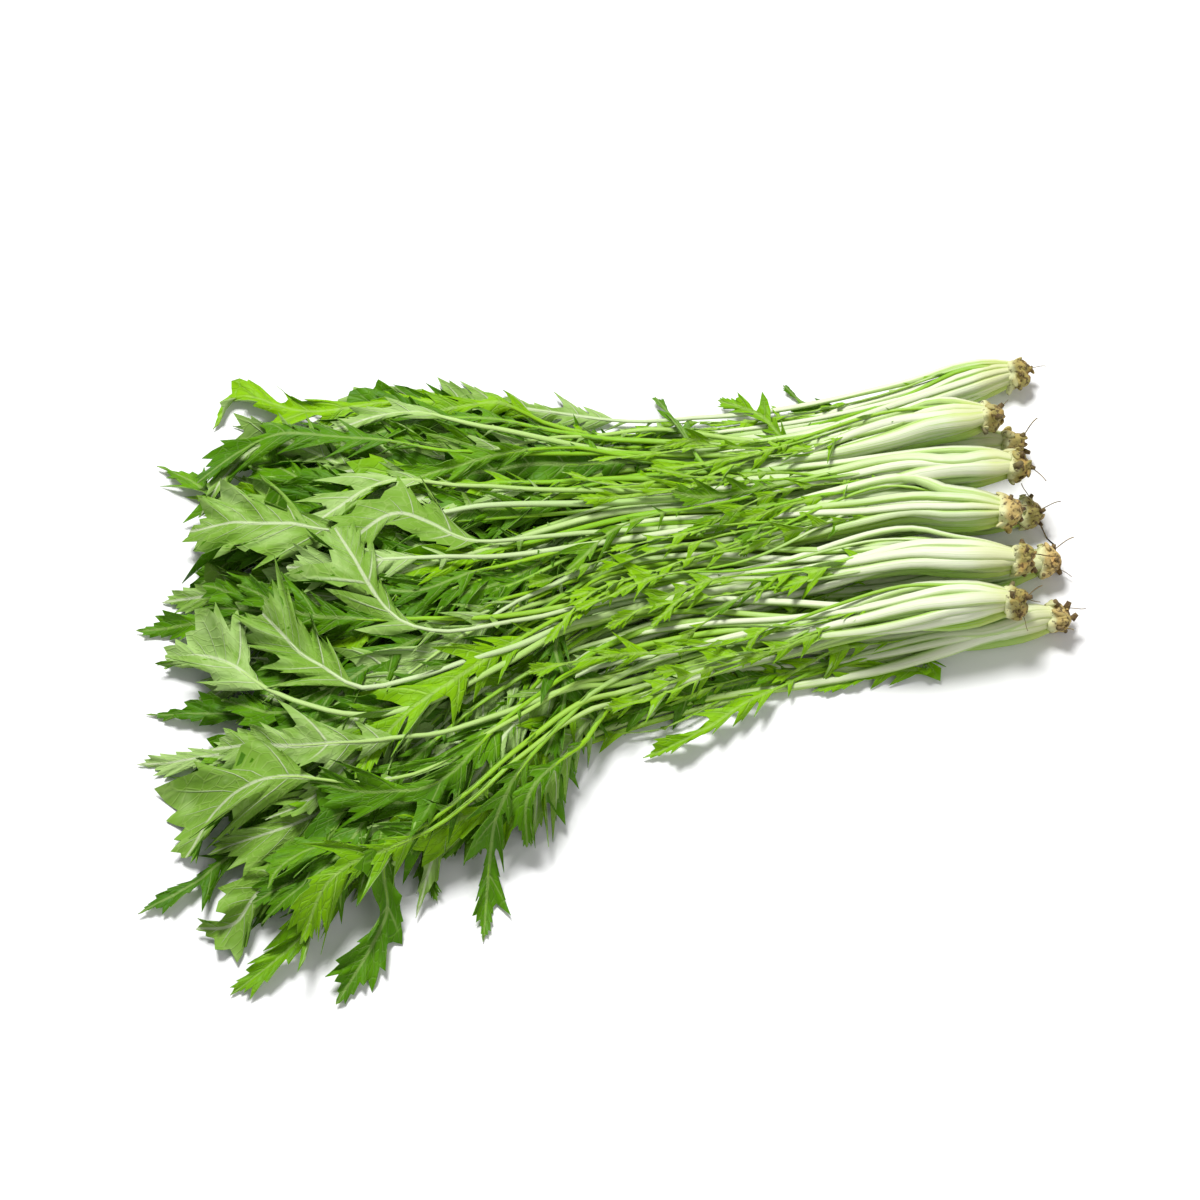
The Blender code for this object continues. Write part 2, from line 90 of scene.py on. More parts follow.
# Stalks, as half widths along a stem or a blade, and blades
BASE_LENGTH = 45 * MM
STALK_WIDTHS = ((0, 1.9 * MM), (0.15, 1.8 * MM), (0.4, 1.4 * MM), (0.7, 1.05 * MM), (1, 0.72 * MM))
RIB_WIDTHS = ((0, 0.72 * MM), (0.25, 0.42 * MM), (0.6, 0.22 * MM), (1, 0.08 * MM))
SHEATH_LENGTH = 55 * MM
STALK_FLATNESS = 0.66
STALK_RIBS = {"Ribs": 5, "RibDepth": 0.08, "Sides": 10}
BLADE_HALF = 0.2 * MM
EDGE_HALF = 0.1 * MM
LOWEST_BLADE = 0.02 * MM
RIB_STRIDE = 4
RIB_ABOVE, RIB_BELOW = 0.35, 0.45
# Stalks that lie lower in their bundle than this get painted shade: their colour is mixed towards lime
SHADE_BELOW = 0.15
COLUMNS = {"shown": 11, "fill": 7, "young": 5}
STALK_STEP = 5 * MM
BLADE_STEP = 2.2 * MM
LEAST_STEP = 0.45 * MM

# Leaves, from least to most: angles in degrees, lengths in millimetres, or shares
TILT = (-28, 28)
TWIST = (-30, 30)
TWIST_LENGTH = (45, 90)
FOLD = (2, 20)
CAMBER = (-0.5, 0.05)
WAVE = (0.12, 0.28)
WAVE_LENGTH = (11, 20)
SWEEP_CUT, SWEEP_WHOLE = (44, 56), (32, 44)
FEATHERED = (0.25, 0.7)
FIRST_LOBE = (1, 4)
FIRST_GAP, GAP_GROWS = 5.5, 5
GAP_VARIES = (0.7, 1.6)
FEATHER_WIDTH = (0.7, 1.2)
FEATHER_REACH = (-0.8, 1.3)
FEATHER_LEAN = 30
LONGEST_BLADE = 0.6
USUAL_WIDTH = 10 * MM
TILTS_FREELY = 9 * MM
SWEEP_ALONG, SWEEP_AT_TIP = math.radians(6), math.radians(14)
HOOKED = 0.35
TURN_ROOM = 0.75

# What sets grown and young leaves apart: how slender the stalk is, how wide its sheath, where the
# leaf may start, the gap between lobes, a lobe's width, its reach and its lean
GROWN = {
    "slender": (0.75, 1.2), "sheath": (0.8, 1.7), "start": 0.36, "gap": 1.1,
    "lobe": 0.66, "lobe_cut": 0.24, "reach": (0.5, 1.2), "lean": 15,
}
YOUNG = {
    "slender": (0.4, 0.6), "sheath": (0.8, 1.1), "start": 0.2, "gap": 1.2,
    "lobe": 0.3, "lobe_cut": 0, "reach": (-0.1, 1.3), "lean": 24,
}

# How far a lobe reaches, from its cut towards the crown to its cut towards the leaf's tip
LOBE = (
    (-1, 0), (-0.74, 0.48), (-0.64, 0.36), (-0.36, 0.80), (-0.26, 0.70), (0, 1.06), (0.4, 0.42), (1, 0),
)
FEATHER = ((-1, 0), (-0.4, 0.72), (0, 1), (1, 0))

# The same for the leaf's end, from its start to the tip
LEAF_END = (
    (0, 0.3), (0.07, 0.84), (0.13, 0.60), (0.25, 1.0), (0.33, 0.68), (0.43, 0.84), (0.50, 0.52),
    (0.59, 0.60), (0.66, 0.36), (0.75, 0.38), (0.81, 0.20), (0.9, 0.13), (1, 0),
)
END_VEINS = 6
END_BULGE = 0.22
LEAST_CUTS = 0.3
LEAST_LEAF_END = 0.26
MOST_LEAF_END = 0.62

# Cut root crowns: distance along a crown and its radius, in millimetres
CROWN_PROFILE = (
    (0.0, 4.6), (0.8, 5.4), (2.0, 5.7), (3.6, 5.4), (5.2, 4.8), (6.4, 4.1), (7.2, 3.0), (7.4, 1.4),
)
CROWN_SIDES = 40
CROWN_RINGS = 22
CROWN_LUMPS = ((0.10, 3, 350), (0.08, 5, -600), (0.05, 9, 900))
MOST_A_SQUARE_METRE = 90000.0
MOST_GROWN = 1.2
EACH_VARIES = (0.7, 1.3)
LEANING = 0.55
LOWEST_SKIN = 0.05 * MM

# The pile's height grid, and how soft the pile is
CELL = 2 * MM
GRID_LOW = np.array((-0.20, -0.21))
GRID_CELLS = (200, 170)
CLEARANCE = 0.35 * MM
LEAST_GAP = 0.3 * MM
WIDENED = 1
BLURRED = 12
SOFT_EDGE = 1.5 * MM
GIVE = 5.5 * MM
BUNDLE_FIRM = 0.7
HANGS_IN = 0.4
SUNK = 0.4
SUNK_ABOVE = 19 * MM
PUFF = 0.07
DROOP = 0.6
DROOP_ABOVE = 4 * MM
OWN_SHARE = 0.25
OWN_BLURRED = 6
EVEN_STEP = 2 * MM
FREE_FROM, FREE_BY = 18 * MM, 85 * MM
BUNDLE_FROM, BUNDLE_BY = 70 * MM, 150 * MM

# Head name: crown pixel, pixel where its stalks part, and its share of the leaf edge
HEADS = {
    "back_low": ((1006, 374), (884, 410), (0.00, 0.14)),
    "inner_low": ((1000, 446), (860, 462), (0.10, 0.34)),
    "middle_low": ((1018, 514), (890, 518), (0.24, 0.50)),
    "front_low": ((1036, 562), (900, 580), (0.42, 0.74)),
    "edge_low": ((1046, 618), (895, 644), (0.66, 0.98)),
    "back_top": ((979, 417), (860, 435), (0.03, 0.22)),
    "inner_top": ((1006, 466), (866, 472), (0.12, 0.40)),
    "middle_top": ((997, 512), (872, 507), (0.26, 0.52)),
    "front_top": ((1010, 560), (872, 555), (0.40, 0.66)),
    "edge_top": ((1003, 602), (872, 613), (0.56, 0.90)),
}

# The edge of the fan of leaves, from the back round to the front, in pixels
LEAF_EDGE = (
    (240, 412), (195, 470), (180, 540), (170, 620), (170, 700), (185, 780),
    (195, 860), (235, 915), (300, 930), (370, 905), (440, 850), (505, 775),
)

# Where the stems draw together before the leaves, from the back to the front, in pixels
WAIST = ((650, 436), (600, 728))

# Stems that fill the bunch, from least to most: blade length and half width in millimetres, depth of
# the cuts, and how much shorter than the fan they are. Young blades are a share as long and as wide.
FILL_BLADE, FILL_WIDTH, FILL_CUTS, FILL_SHORT = (70, 110), (11, 19), (0.4, 0.85), (0.0, 0.3)
YOUNG_BLADE, YOUNG_WIDTH, YOUNG_CUTS, YOUNG_SHORT = (0.35, 0.6), 0.45, (0.85, 0.98), (0.36, 0.8)
SHORT_FROM = 0.35
UNDER_SHARE = 0.3

# The leafy stems that show, head by head: pixels the rib passes after the stalks part, blade length
# and half width, depth of its cuts and which side lies up
SHOWN_STEMS = {
    "back_low": (
        (((600, 438), (430, 406), (320, 418), (243, 398), (213, 428)), 88, 12, 0.7, "top"),
        (((700, 432), (560, 430), (520, 416), (488, 401)), 30, 6, 0.8, "top"),
        (((830, 404), (806, 402), (783, 384)), 22, 4, 0.8, "top"),
    ),
    "inner_low": (
        (((600, 470), (400, 480), (240, 500), (190, 482), (157, 466)), 60, 8, 0.8, "top"),
    ),
    "middle_low": (
        (((600, 560), (400, 590), (230, 592), (162, 600)), 60, 11, 0.7, "under"),
        (((600, 600), (400, 640), (230, 622), (136, 630)), 62, 10, 0.7, "top"),
    ),
    "front_low": (
        (((600, 650), (400, 700), (260, 712), (146, 713)), 72, 9, 0.7, "top"),
        (((600, 680), (400, 750), (240, 752), (137, 763)), 62, 11, 0.6, "under"),
        (((600, 700), (420, 810), (250, 850), (196, 885), (138, 914)), 66, 9, 0.8, "top"),
    ),
    "edge_low": (
        (((600, 722), (450, 810), (330, 905), (300, 945), (230, 994)), 66, 13, 0.6, "top"),
        (((600, 730), (450, 830), (280, 880), (235, 925), (196, 928)), 52, 13, 0.4, "under"),
        (((600, 736), (500, 790), (430, 846), (437, 900)), 44, 9, 0.8, "top"),
        (((760, 700), (700, 738), (643, 757)), 52, 8, 0.7, "top"),
        (((930, 664), (880, 672), (812, 690)), 50, 7, 0.7, "top"),
    ),
    "back_top": (
        (((650, 452), (500, 450), (330, 438), (250, 446), (197, 482)), 72, 15, 0.8, "top"),
        (((640, 450), (500, 428), (400, 412), (330, 428)), 44, 10, 0.6, "under"),
        (((800, 436), (760, 414), (718, 399)), 34, 7, 0.9, "top"),
    ),
    "inner_top": (
        (((760, 466), (705, 462), (682, 430), (655, 396)), 34, 7, 0.9, "top"),
        (((620, 500), (480, 500), (340, 520), (250, 519), (190, 530)), 62, 22, 0.3, "under"),
        (((600, 487), (470, 480), (390, 474), (335, 500), (292, 530)), 52, 14, 0.7, "under"),
        (((640, 455), (560, 446), (450, 464), (395, 478)), 46, 11, 0.7, "top"),
    ),
    "middle_top": (
        (((600, 528), (480, 534), (430, 514), (390, 505), (340, 532)), 54, 16, 0.5, "under"),
        (((600, 540), (440, 545), (350, 548), (285, 554)), 44, 12, 0.4, "under"),
        (((640, 530), (500, 558), (420, 575), (352, 566)), 44, 10, 0.8, "top"),
        (((650, 560), (580, 585), (556, 640), (565, 690), (545, 750)), 52, 12, 0.9, "top"),
    ),
    "front_top": (
        (((650, 588), (530, 610), (440, 618), (382, 590), (332, 512)), 50, 17, 0.6, "under"),
        (((650, 600), (500, 640), (400, 668), (340, 668), (262, 606)), 48, 24, 0.6, "under"),
        (((680, 575), (560, 610), (460, 665), (390, 715), (354, 768)), 76, 14, 0.8, "top"),
        (((620, 610), (420, 690), (300, 690), (215, 660), (165, 656)), 46, 16, 0.4, "under"),
        (((640, 590), (480, 604), (330, 606), (236, 578)), 54, 12, 0.7, "top"),
    ),
    "edge_top": (
        (((650, 640), (520, 700), (450, 765), (380, 785), (308, 772)), 66, 14, 0.7, "top"),
        (((650, 660), (560, 720), (505, 790), (490, 850), (483, 940)), 60, 9, 0.8, "top"),
        (((620, 690), (470, 780), (388, 850), (385, 920), (336, 1004)), 66, 13, 0.6, "top"),
        (((620, 670), (420, 760), (275, 776), (218, 810), (186, 856)), 52, 21, 0.3, "under"),
        (((620, 680), (430, 722), (300, 736), (212, 748)), 58, 14, 0.5, "under"),
        (((620, 700), (460, 800), (340, 868), (300, 942)), 54, 12, 0.7, "top"),
        (((650, 680), (580, 745), (530, 790), (527, 846)), 34, 8, 0.8, "top"),
    ),
}


def photo_point(pixel, height):
    """Plan point under a pixel of the photograph, for something that lies at this height."""
    across = (pixel[0] - MIDDLE_PIXEL) * PIXEL
    up = (MIDDLE_PIXEL - pixel[1]) * PIXEL
    rise, run = math.sin(VIEW_HEIGHT_ANGLE), math.cos(VIEW_HEIGHT_ANGLE)
    share = (VIEW_DISTANCE * rise - height) / (VIEW_DISTANCE * rise - up * run)
    y = -VIEW_DISTANCE * run + share * (VIEW_DISTANCE * run + up * rise)
    return np.array((share * across, y))


def ease(x, low, high):
    """0 below low, 1 above high, smooth between."""
    t = np.clip((np.asarray(x, float) - low) / (high - low), 0, 1)
    return t * t * (3 - 2 * t)


def smooth_route(points, spacing=2 * MM):
    """Plan points every 2 mm along a Catmull-Rom curve through the given points."""
    p = np.array([2 * points[0] - points[1], *points, 2 * points[-1] - points[-2]])
    t = np.linspace(0, 1, 24, endpoint=False)[:, None]
    runs = []
    for a, b, c, d in zip(p, p[1:], p[2:], p[3:]):
        square, cube = 2 * a - 5 * b + 4 * c - d, 3 * b - a - 3 * c + d
        runs.append(0.5 * (2 * b + (c - a) * t + square * t**2 + cube * t**3))
    curve = np.vstack([*runs, points[-1:]])
    along = np.concatenate([[0], np.cumsum(np.linalg.norm(np.diff(curve, axis=0), axis=1))])
    even = np.linspace(0, along[-1], max(2, round(along[-1] / spacing)))
    return read_columns(even, along, curve), even


def read_columns(places, at, columns):
    """The columns' values at these places, given their values at others."""
    return np.stack([np.interp(places, at, column) for column in np.transpose(columns)], -1)


def read_profile(places, profile, **ends):
    """The values of a profile at these places."""
    return np.interp(places, *np.array(profile).T, **ends)


def evened(values, count):
    """Values along a stem, averaged over count neighbours each way."""
    kernel = np.ones(2 * count + 1) / (2 * count + 1)
    return np.convolve(np.pad(values, count, mode="edge"), kernel, mode="valid")


def highest_near(values, count):
    """The highest of each value and its count neighbours each way."""
    padded = np.pad(values, count, mode="edge")
    return np.max([padded[k:k + len(values)] for k in range(2 * count + 1)], axis=0)


def eased_over(s, values, count):
    """A smooth curve along a stem that lies nowhere below the values."""
    even = np.arange(0, s[-1] + EVEN_STEP, EVEN_STEP)
    steps = np.zeros(len(even))
    np.maximum.at(steps, np.clip((s / EVEN_STEP).round().astype(int), 0, len(even) - 1), values)
    between = highest_near(np.maximum(steps, np.interp(even, s, values)), count)
    return np.interp(s, even, evened(between, count))


class LeafyStem:
    """One stalk with its leaf: rows of points across its rib, from the crown to the leaf's tip."""

    def __init__(self, points, shape, place, seed, kind):
        draw = random.Random(seed)
        self.route, self.even = smooth_route(np.array(points))
        self.length = self.even[-1]
        blade, width, self.cuts, side = shape
        self.young = kind == "young"
        habit = YOUNG if self.young else GROWN
        self.columns = COLUMNS[kind]
        self.blade = min(blade * MM, LONGEST_BLADE * self.length)
        self.width = width * MM
        self.under_up = side == "under"
        self.across, self.above = place
        self.turn = math.remainder(math.pi / 2 - math.atan2(self.above, self.across), math.pi)
        tilt = min(1, TILTS_FREELY / self.width)
        self.roll = tilt * math.radians(draw.uniform(*TILT))
        self.twist = tilt * math.radians(draw.uniform(*TWIST))
        self.twist_wave = draw.uniform(*TWIST_LENGTH) * MM
        self.fold = math.radians(draw.uniform(*FOLD))
        self.camber = draw.uniform(*CAMBER)
        self.wave = draw.uniform(*WAVE)
        self.wave_length = draw.uniform(*WAVE_LENGTH) * MM
        self.phases = [draw.uniform(0, 2 * math.pi) for _ in range(6)]
        self.sweep = math.radians(draw.uniform(*(SWEEP_CUT if self.cuts > 0.5 else SWEEP_WHOLE)))
        self.layer = (1 + self.above + draw.uniform(0, 0.8)) * 0.5 * LEAF_LAYER
        self.tint = draw.uniform(0, 1)
        self.slender = draw.uniform(*habit["slender"])
        self.sheath = draw.uniform(*habit["sheath"])
        self.bare = self.length - self.blade
        feathered = draw.uniform(*FEATHERED) * self.blade
        self.first = max(self.bare - feathered, habit["start"] * self.length)
        longer = (MOST_LEAF_END - LEAST_LEAF_END) * (1 - self.cuts) / (1 - LEAST_CUTS)
        self.end = self.blade * (LEAST_LEAF_END + longer)
        self.end_width = self.width * (1 - 0.5 * self.cuts**2)
        self.end_wobble = draw.uniform(-0.5, 0.5)
        self.place_lobes(draw, habit)
        self.s = self.row_places()
        self.blade_from = int(np.searchsorted(self.s, self.first))

    def place_lobes(self, draw, habit):
        """Sets where lobes stand on the rib, and each one's half width, reach, lean and bend by side."""
        sides = (0, 1)
        places, widths, reaches, spread = [], [], [], []
        at = self.first + draw.uniform(*FIRST_LOBE) * MM
        while at < self.length - 0.9 * self.end:
            x = (at - self.bare) / self.blade
            gap = (FIRST_GAP + GAP_GROWS * float(ease(x, 0, 0.6))) * MM
            gap = gap * (self.width / USUAL_WIDTH) ** 0.5
            gap *= draw.uniform(*GAP_VARIES) * habit["gap"]
            if at < self.bare:
                grown = 0.3 + 0.35 * float(ease(at, self.first, self.bare))
                wide, reach, lean = draw.uniform(*FEATHER_WIDTH) * MM, FEATHER_REACH, FEATHER_LEAN
            else:
                grown = 0.85 + 0.35 * float(ease(x, 0, 0.4))
                wide = (habit["lobe"] - habit["lobe_cut"] * self.cuts) * gap
                reach, lean = habit["reach"], habit["lean"]
            places.append(at)
            widths.append(wide)
            reaches.append([grown * self.width * max(0, draw.uniform(*reach)) for _ in sides])
            spread.append(lean)
            at += gap
        leans = [[math.radians(draw.uniform(-a, 0.7 * a)) for _ in sides] for a in spread]
        bends = [[draw.uniform(-0.03, 0.02) * a for _ in sides] for a in spread]
        self.places, self.lobe_widths = np.array(places), np.array(widths)
        self.lobe_reaches, self.leans, self.bends = (
            np.array(values).reshape(-1, 2) for values in (reaches, leans, bends)
        )

    def row_places(self):
        """Rows stand at every corner of the outline, and no further apart than a set step."""
        marks = [self.first, self.length]
        for place, width in zip(self.places, self.lobe_widths):
            profile = FEATHER if place < self.bare else LOBE
            marks += [place + share * width for share, _ in profile]
        marks += [self.length - self.end * (1 - share) for share, _ in LEAF_END]
        marks = np.array(sorted(m for m in marks if self.first <= m <= self.length))
        marks = marks[np.concatenate([[True], np.diff(marks) > LEAST_STEP])]
        marks[-1] = self.length
        rows = []
        for low, high in zip(marks, marks[1:]):
            count = max(1, math.ceil((high - low) / BLADE_STEP))
            rows.extend(np.linspace(low, high, count, endpoint=False))
        rows.append(self.length)
        return np.concatenate([np.arange(0, self.first - LEAST_STEP, STALK_STEP), rows])

    def half_width(self, s):
        """Half width of the stalk or rib at s."""
        stalk = read_profile(s / self.bare, STALK_WIDTHS)
        rib = read_profile((s - self.bare) / self.blade, RIB_WIDTHS)
        sheath = 1 + (self.sheath - 1) * (1 - ease(s, 0.2 * SHEATH_LENGTH, SHEATH_LENGTH))
        narrowed = 0.75 + 0.25 * ease(s, 0, 10 * MM)
        return np.where(s < self.bare, stalk * sheath, rib) * self.slender * narrowed

    def turned(self, s):
        """How far the stalk is turned to face its head's axis, from the crown until it lies free."""
        return self.turn * (1 - ease(s, 0.3 * BASE_LENGTH, 2 * BASE_LENGTH))

    def reach(self, s, side):
        """How far the leaf reaches on one side of its rib, with each row's lean, bend and vein count.

        The vein count is a half past a whole at the middle of a lobe, where its vein runs.
        """
        stalk = self.half_width(s)
        x = (s - self.bare) / self.blade
        share = 1 - (self.length - s) / self.end
        bulge = 1 + END_BULGE * np.sin(share * 9 + side * 2.6 + 6 * self.end_wobble)
        end = self.end_width * read_profile(share, LEAF_END, left=0) * bulge
        web = self.width * (1 - self.cuts) * ease(x, 0, 0.25) * (share < 0.1)
        reach, lean, bend, vein = np.maximum(end, web), 0 * s, 0 * s, 0 * s
        if len(self.places):
            nearest = np.abs(s[:, None] - self.places).argmin(1)
            away = (s - self.places[nearest]) / self.lobe_widths[nearest]
            feather = self.places[nearest] < self.bare
            lobe = np.where(feather, read_profile(away, FEATHER), read_profile(away, LOBE))
            lobe = lobe * self.lobe_reaches[nearest, side]
            of_lobe = lobe > end
            lean = np.where(of_lobe, self.leans[nearest, side], 0)
            bend = np.where(of_lobe, self.bends[nearest, side], 0)
            vein = nearest + 0.5 + 0.5 * np.clip(away, -1, 1)
            reach = np.maximum(reach, lobe)
        vein = np.where(share > 0, len(self.places) + share * END_VEINS, vein)
        return stalk + reach, lean, bend, vein

    def shape(self):
        """Sets, by rows and columns, plan points, heights against the rib and how far out they are."""
        s = self.s
        t = np.linspace(-1, 1, self.columns)
        middle = read_columns(s, self.even, self.route)
        slope = np.gradient(self.route, self.even, axis=0)
        ahead = read_columns(s, self.even, slope)
        ahead /= np.linalg.norm(ahead, axis=1, keepdims=True)
        left = np.stack([-ahead[:, 1], ahead[:, 0]], 1)
        heading = np.unwrap(np.arctan2(slope[:, 1], slope[:, 0]))
        turning = np.interp(s, self.even, evened(np.gradient(heading, self.even), 3))
        sides = np.stack([np.stack(self.reach(s, side), -1) for side in (0, 1)], 1)
        on_left = (t >= 0).astype(int)
        reach, lean, bend, vein = np.moveaxis(sides[:, on_left], -1, 0)
        stalk = self.half_width(s)[:, None]
        leafy = (s >= self.first)[:, None].astype(float)
        x = np.clip((s - self.bare) / self.blade, 0, 1)[:, None]
        to_tip = np.clip(1 - (self.length - s) / self.end, 0, 1)[:, None]
        sweep = self.sweep + SWEEP_ALONG * x + SWEEP_AT_TIP * to_tip**2 + lean
        sweep = sweep * leafy * ease(s, self.first, self.first + 5 * MM)[:, None]
        rolled = self.roll + self.twist * np.sin((s - self.bare) / self.twist_wave * 2 + self.phases[1])
        roll = (self.turned(s) + rolled * ease(s, BASE_LENGTH, self.bare))[:, None]
        tight = np.clip(turning[:, None] * np.sign(t), 0, None)
        reach = np.minimum(reach, np.maximum(TURN_ROOM / np.maximum(tight, 1e-3), stalk))
        out = np.abs(t)[None] * np.ones((len(s), 1))
        wide = t * reach * np.cos(sweep)
        forward = out * reach * (np.sin(sweep) + HOOKED * out * leafy)
        lift = np.abs(wide) * math.tan(self.fold) + self.camber * wide**2 / self.width
        lift = lift + bend * reach * out**2
        for k, share in enumerate((1.0, 0.5)):
            turns = s[:, None] / self.wave_length * 2 * math.pi * (1 + k)
            ripple = np.sin(turns + self.phases[2 + k] + on_left * 2)
            lift = lift + share * self.wave * reach * out**1.4 * ripple
        puffed = PUFF * reach * out * (1 - 0.4 * out) * np.cos(2 * math.pi * vein)
        lift = (lift + (-1 if self.under_up else 1) * puffed) * leafy
        sideways = wide * np.cos(roll) - lift * np.sin(roll)
        relative = wide * np.sin(roll) + lift * np.cos(roll)
        self.relative = relative - DROOP * np.clip(relative - DROOP_ABOVE, 0, None)
        self.plan = middle[:, None] + sideways[..., None] * left[:, None]
        self.plan = self.plan + forward[..., None] * ahead[:, None]
        self.out, self.reaches = out, reach
        self.vein = np.where(leafy > 0, vein, 0)

    def sink(self, pile):
        """Lets the stem sink with the pile under it, the more the taller the pile is there."""
        tall = pile.read(pile.smooth, self.plan)
        sunk = SUNK * np.clip(tall - SUNK_ABOVE, 0, None) / np.maximum(tall, SUNK_ABOVE)
        self.height = self.height * (1 - sunk * ease(self.s, FREE_FROM, FREE_BY)[:, None])


class Pile:
    """How high the bunch stands at each place so far, on a grid in plan."""

    def __init__(self):
        self.settled = np.zeros(GRID_CELLS)
        self.current = np.zeros(GRID_CELLS)
        self.settle()

    @staticmethod
    def cells(points):
        index = np.floor((points[..., :2] - GRID_LOW) / CELL).astype(int)
        return tuple(np.clip(index[..., k], 0, GRID_CELLS[k] - 1) for k in (0, 1))

    @staticmethod
    def neighbours(heights):
        padded = np.pad(heights, 1, mode="edge")
        nx, ny = heights.shape
        return [padded[i:i + nx, j:j + ny] for i in range(3) for j in range(3)]

    def smoothed(self, heights, widened, blurred):
        for _ in range(widened):
            heights = np.max(self.neighbours(heights), axis=0)
        for _ in range(blurred):
            heights = np.mean(self.neighbours(heights), axis=0)
        return heights

    @staticmethod
    def read(grid, points):
        """Heights of a grid at plan points, blended between the cells."""
        place = (points - GRID_LOW) / CELL - 0.5
        low = np.clip(np.floor(place).astype(int), 0, np.array(GRID_CELLS) - 2)
        i, j = low[..., 0], low[..., 1]
        a, b = np.clip(place[..., 0] - i, 0, 1), np.clip(place[..., 1] - j, 0, 1)
        near = grid[i, j] * (1 - a) * (1 - b) + grid[i + 1, j] * a * (1 - b)
        return near + grid[i, j + 1] * (1 - a) * b + grid[i + 1, j + 1] * a * b

    def stamp(self, points, heights):
        np.maximum.at(self.current, self.cells(points), heights)

    def blend_own(self):
        """The head in hand counts in part, so that its leaves press into each other."""
        own = self.settled + OWN_SHARE * (self.current - self.settled)
        self.mixed = self.smoothed(own, 1, OWN_BLURRED)
        self.mixed = np.maximum(self.mixed, self.smooth)

    def settle(self):
        """Ends a head: what lies there now counts for the heads to come."""
        self.settled = self.current.copy()
        self.smooth = self.smoothed(self.settled, WIDENED, BLURRED)
        self.mixed = self.smooth

    @staticmethod
    def cleared(low):
        return low + CLEARANCE * np.clip(low / MM, 0, 1) - PRESSED * np.clip(1 - low / MM, 0, 1)


def gathered(s):
    """How much of the ring's radius a stalk stands from its head's axis, drawn in at the crown."""
    return GATHERED + (1 - GATHERED) * ease(s, -2 * MM, GATHERED_TO)


def lay_stem(stem, pile, head):
    """Gives a stem's points their heights: from the crown's ring down onto the pile."""
    stem.shape()
    s, plan, relative = stem.s, stem.plan, stem.relative
    lying = ease(s, FREE_FROM, FREE_BY)[:, None]
    sooner, shorter = (0.5, 0.6) if stem.young else (1, 1)
    bundled = 1 - ease(s, sooner * BUNDLE_FROM, shorter * BUNDLE_BY)[:, None]
    low = pile.read(head.under, plan) * bundled + pile.read(pile.mixed, plan) * (1 - bundled)
    sunk = HANGS_IN * eased_over(s, -relative.min(1), 3)[:, None]
    rest = Pile.cleared(low) + bundled * (1 + stem.above) * BUNDLE[1] + (1 - bundled) * stem.layer
    rest = rest + relative + sunk * (1 - bundled)
    ring = head.height + stem.above * STALK_RING * gathered(s)[:, None] + relative
    height = (1 - lying) * ring + lying * rest
    thick = (stem.half_width(s) * STALK_FLATNESS)[:, None]
    by_rib = stem.out < 0.2
    thick = np.where(by_rib | (s[:, None] < stem.first), thick, BLADE_HALF)
    cells = Pile.cells(plan)
    ground = head.ground[cells] * bundled + pile.settled[cells] * (1 - bundled)
    give = GIVE * (1 - BUNDLE_FIRM * bundled) * (1 + stem.out)
    least = np.where(ground > 0, ground + LEAST_GAP - give, 0) + thick
    leafy = (s >= stem.first)[:, None]
    short = np.clip(np.where(leafy | by_rib, least - height, 0).max(1), 0, None)
    stem.height = np.maximum(height + eased_over(s, short, 6)[:, None], thick)
    fine = np.linspace(0, stem.columns - 1, 3 * stem.columns)
    columns = np.clip(fine.astype(int), 0, stem.columns - 2)
    part = fine - columns
    rib = stem.height[:, stem.columns // 2, None]
    top = np.minimum(stem.height, rib + SOFT_EDGE) + thick
    top = top[:, columns] * (1 - part) + top[:, columns + 1] * part
    dense = plan[:, columns] * (1 - part)[None, :, None] + plan[:, columns + 1] * part[None, :, None]
    pile.stamp(dense, top)
    pile.stamp(0.5 * (dense[1:] + dense[:-1]), 0.5 * (top[1:] + top[:-1]))
    pile.blend_own()


def edge_pixel(share):
    """A pixel on the edge of the fan of leaves, from 0 at the back to 1 at the front."""
    last = len(LEAF_EDGE) - 1
    return read_columns(share * last, range(last + 1), LEAF_EDGE)


def lying_point(pixel, pile, above=2 * LEAF_LAYER):
    """Plan point under a pixel for something that lies on the pile there."""
    height = above
    while height < Pile.cleared(pile.read(pile.mixed, photo_point(pixel, height))) + above:
        height += 0.5 * MM
    return photo_point(pixel, height)


def between(a, b, share):
    """The point at a share of the way from one to the other."""
    return [p + share * (q - p) for p, q in zip(a, b)]


def fill_stem(draw, part_pixel, share, shortest, longest):
    """Route pixels and blade of a stem that fills the bunch behind the ones that show."""

    def strayed(point, across, down):
        return [point[0] + draw.gauss(0, across), point[1] + draw.gauss(0, down)]

    def mixed(of_tip, of_waist):
        return [of_tip * a + of_waist * b for a, b in zip(tip, waist)]

    short = draw.uniform(shortest, longest)
    waist, tip = between(*WAIST, share), edge_pixel(share)
    if short < SHORT_FROM:
        tip = between(tip, waist, short)
    else:
        tip = between(mixed(0.25, 0.75), part_pixel, (short - SHORT_FROM) / (1 - SHORT_FROM))
    waist = strayed(waist, 9, 9)
    neck, crook = strayed(mixed(0.55, 0.45), 16, 16), strayed(mixed(0.82, 0.18), 12, 12)
    pixels = [waist, neck, crook, strayed(tip, 8, 20)]
    if short > SHORT_FROM:
        steps = ((0.4, 4), (0.75, 9), (1, 14))
        pixels = [strayed(between(part_pixel, tip, part), sway, sway) for part, sway in steps]
    side = "under" if draw.random() < UNDER_SHARE else "top"
    room = min(1, 0.55 + 2.5 * min(share, 1 - share))
    blade, width = draw.uniform(*FILL_BLADE), room * draw.uniform(*FILL_WIDTH)
    return pixels, (blade, width, draw.uniform(*FILL_CUTS), side)


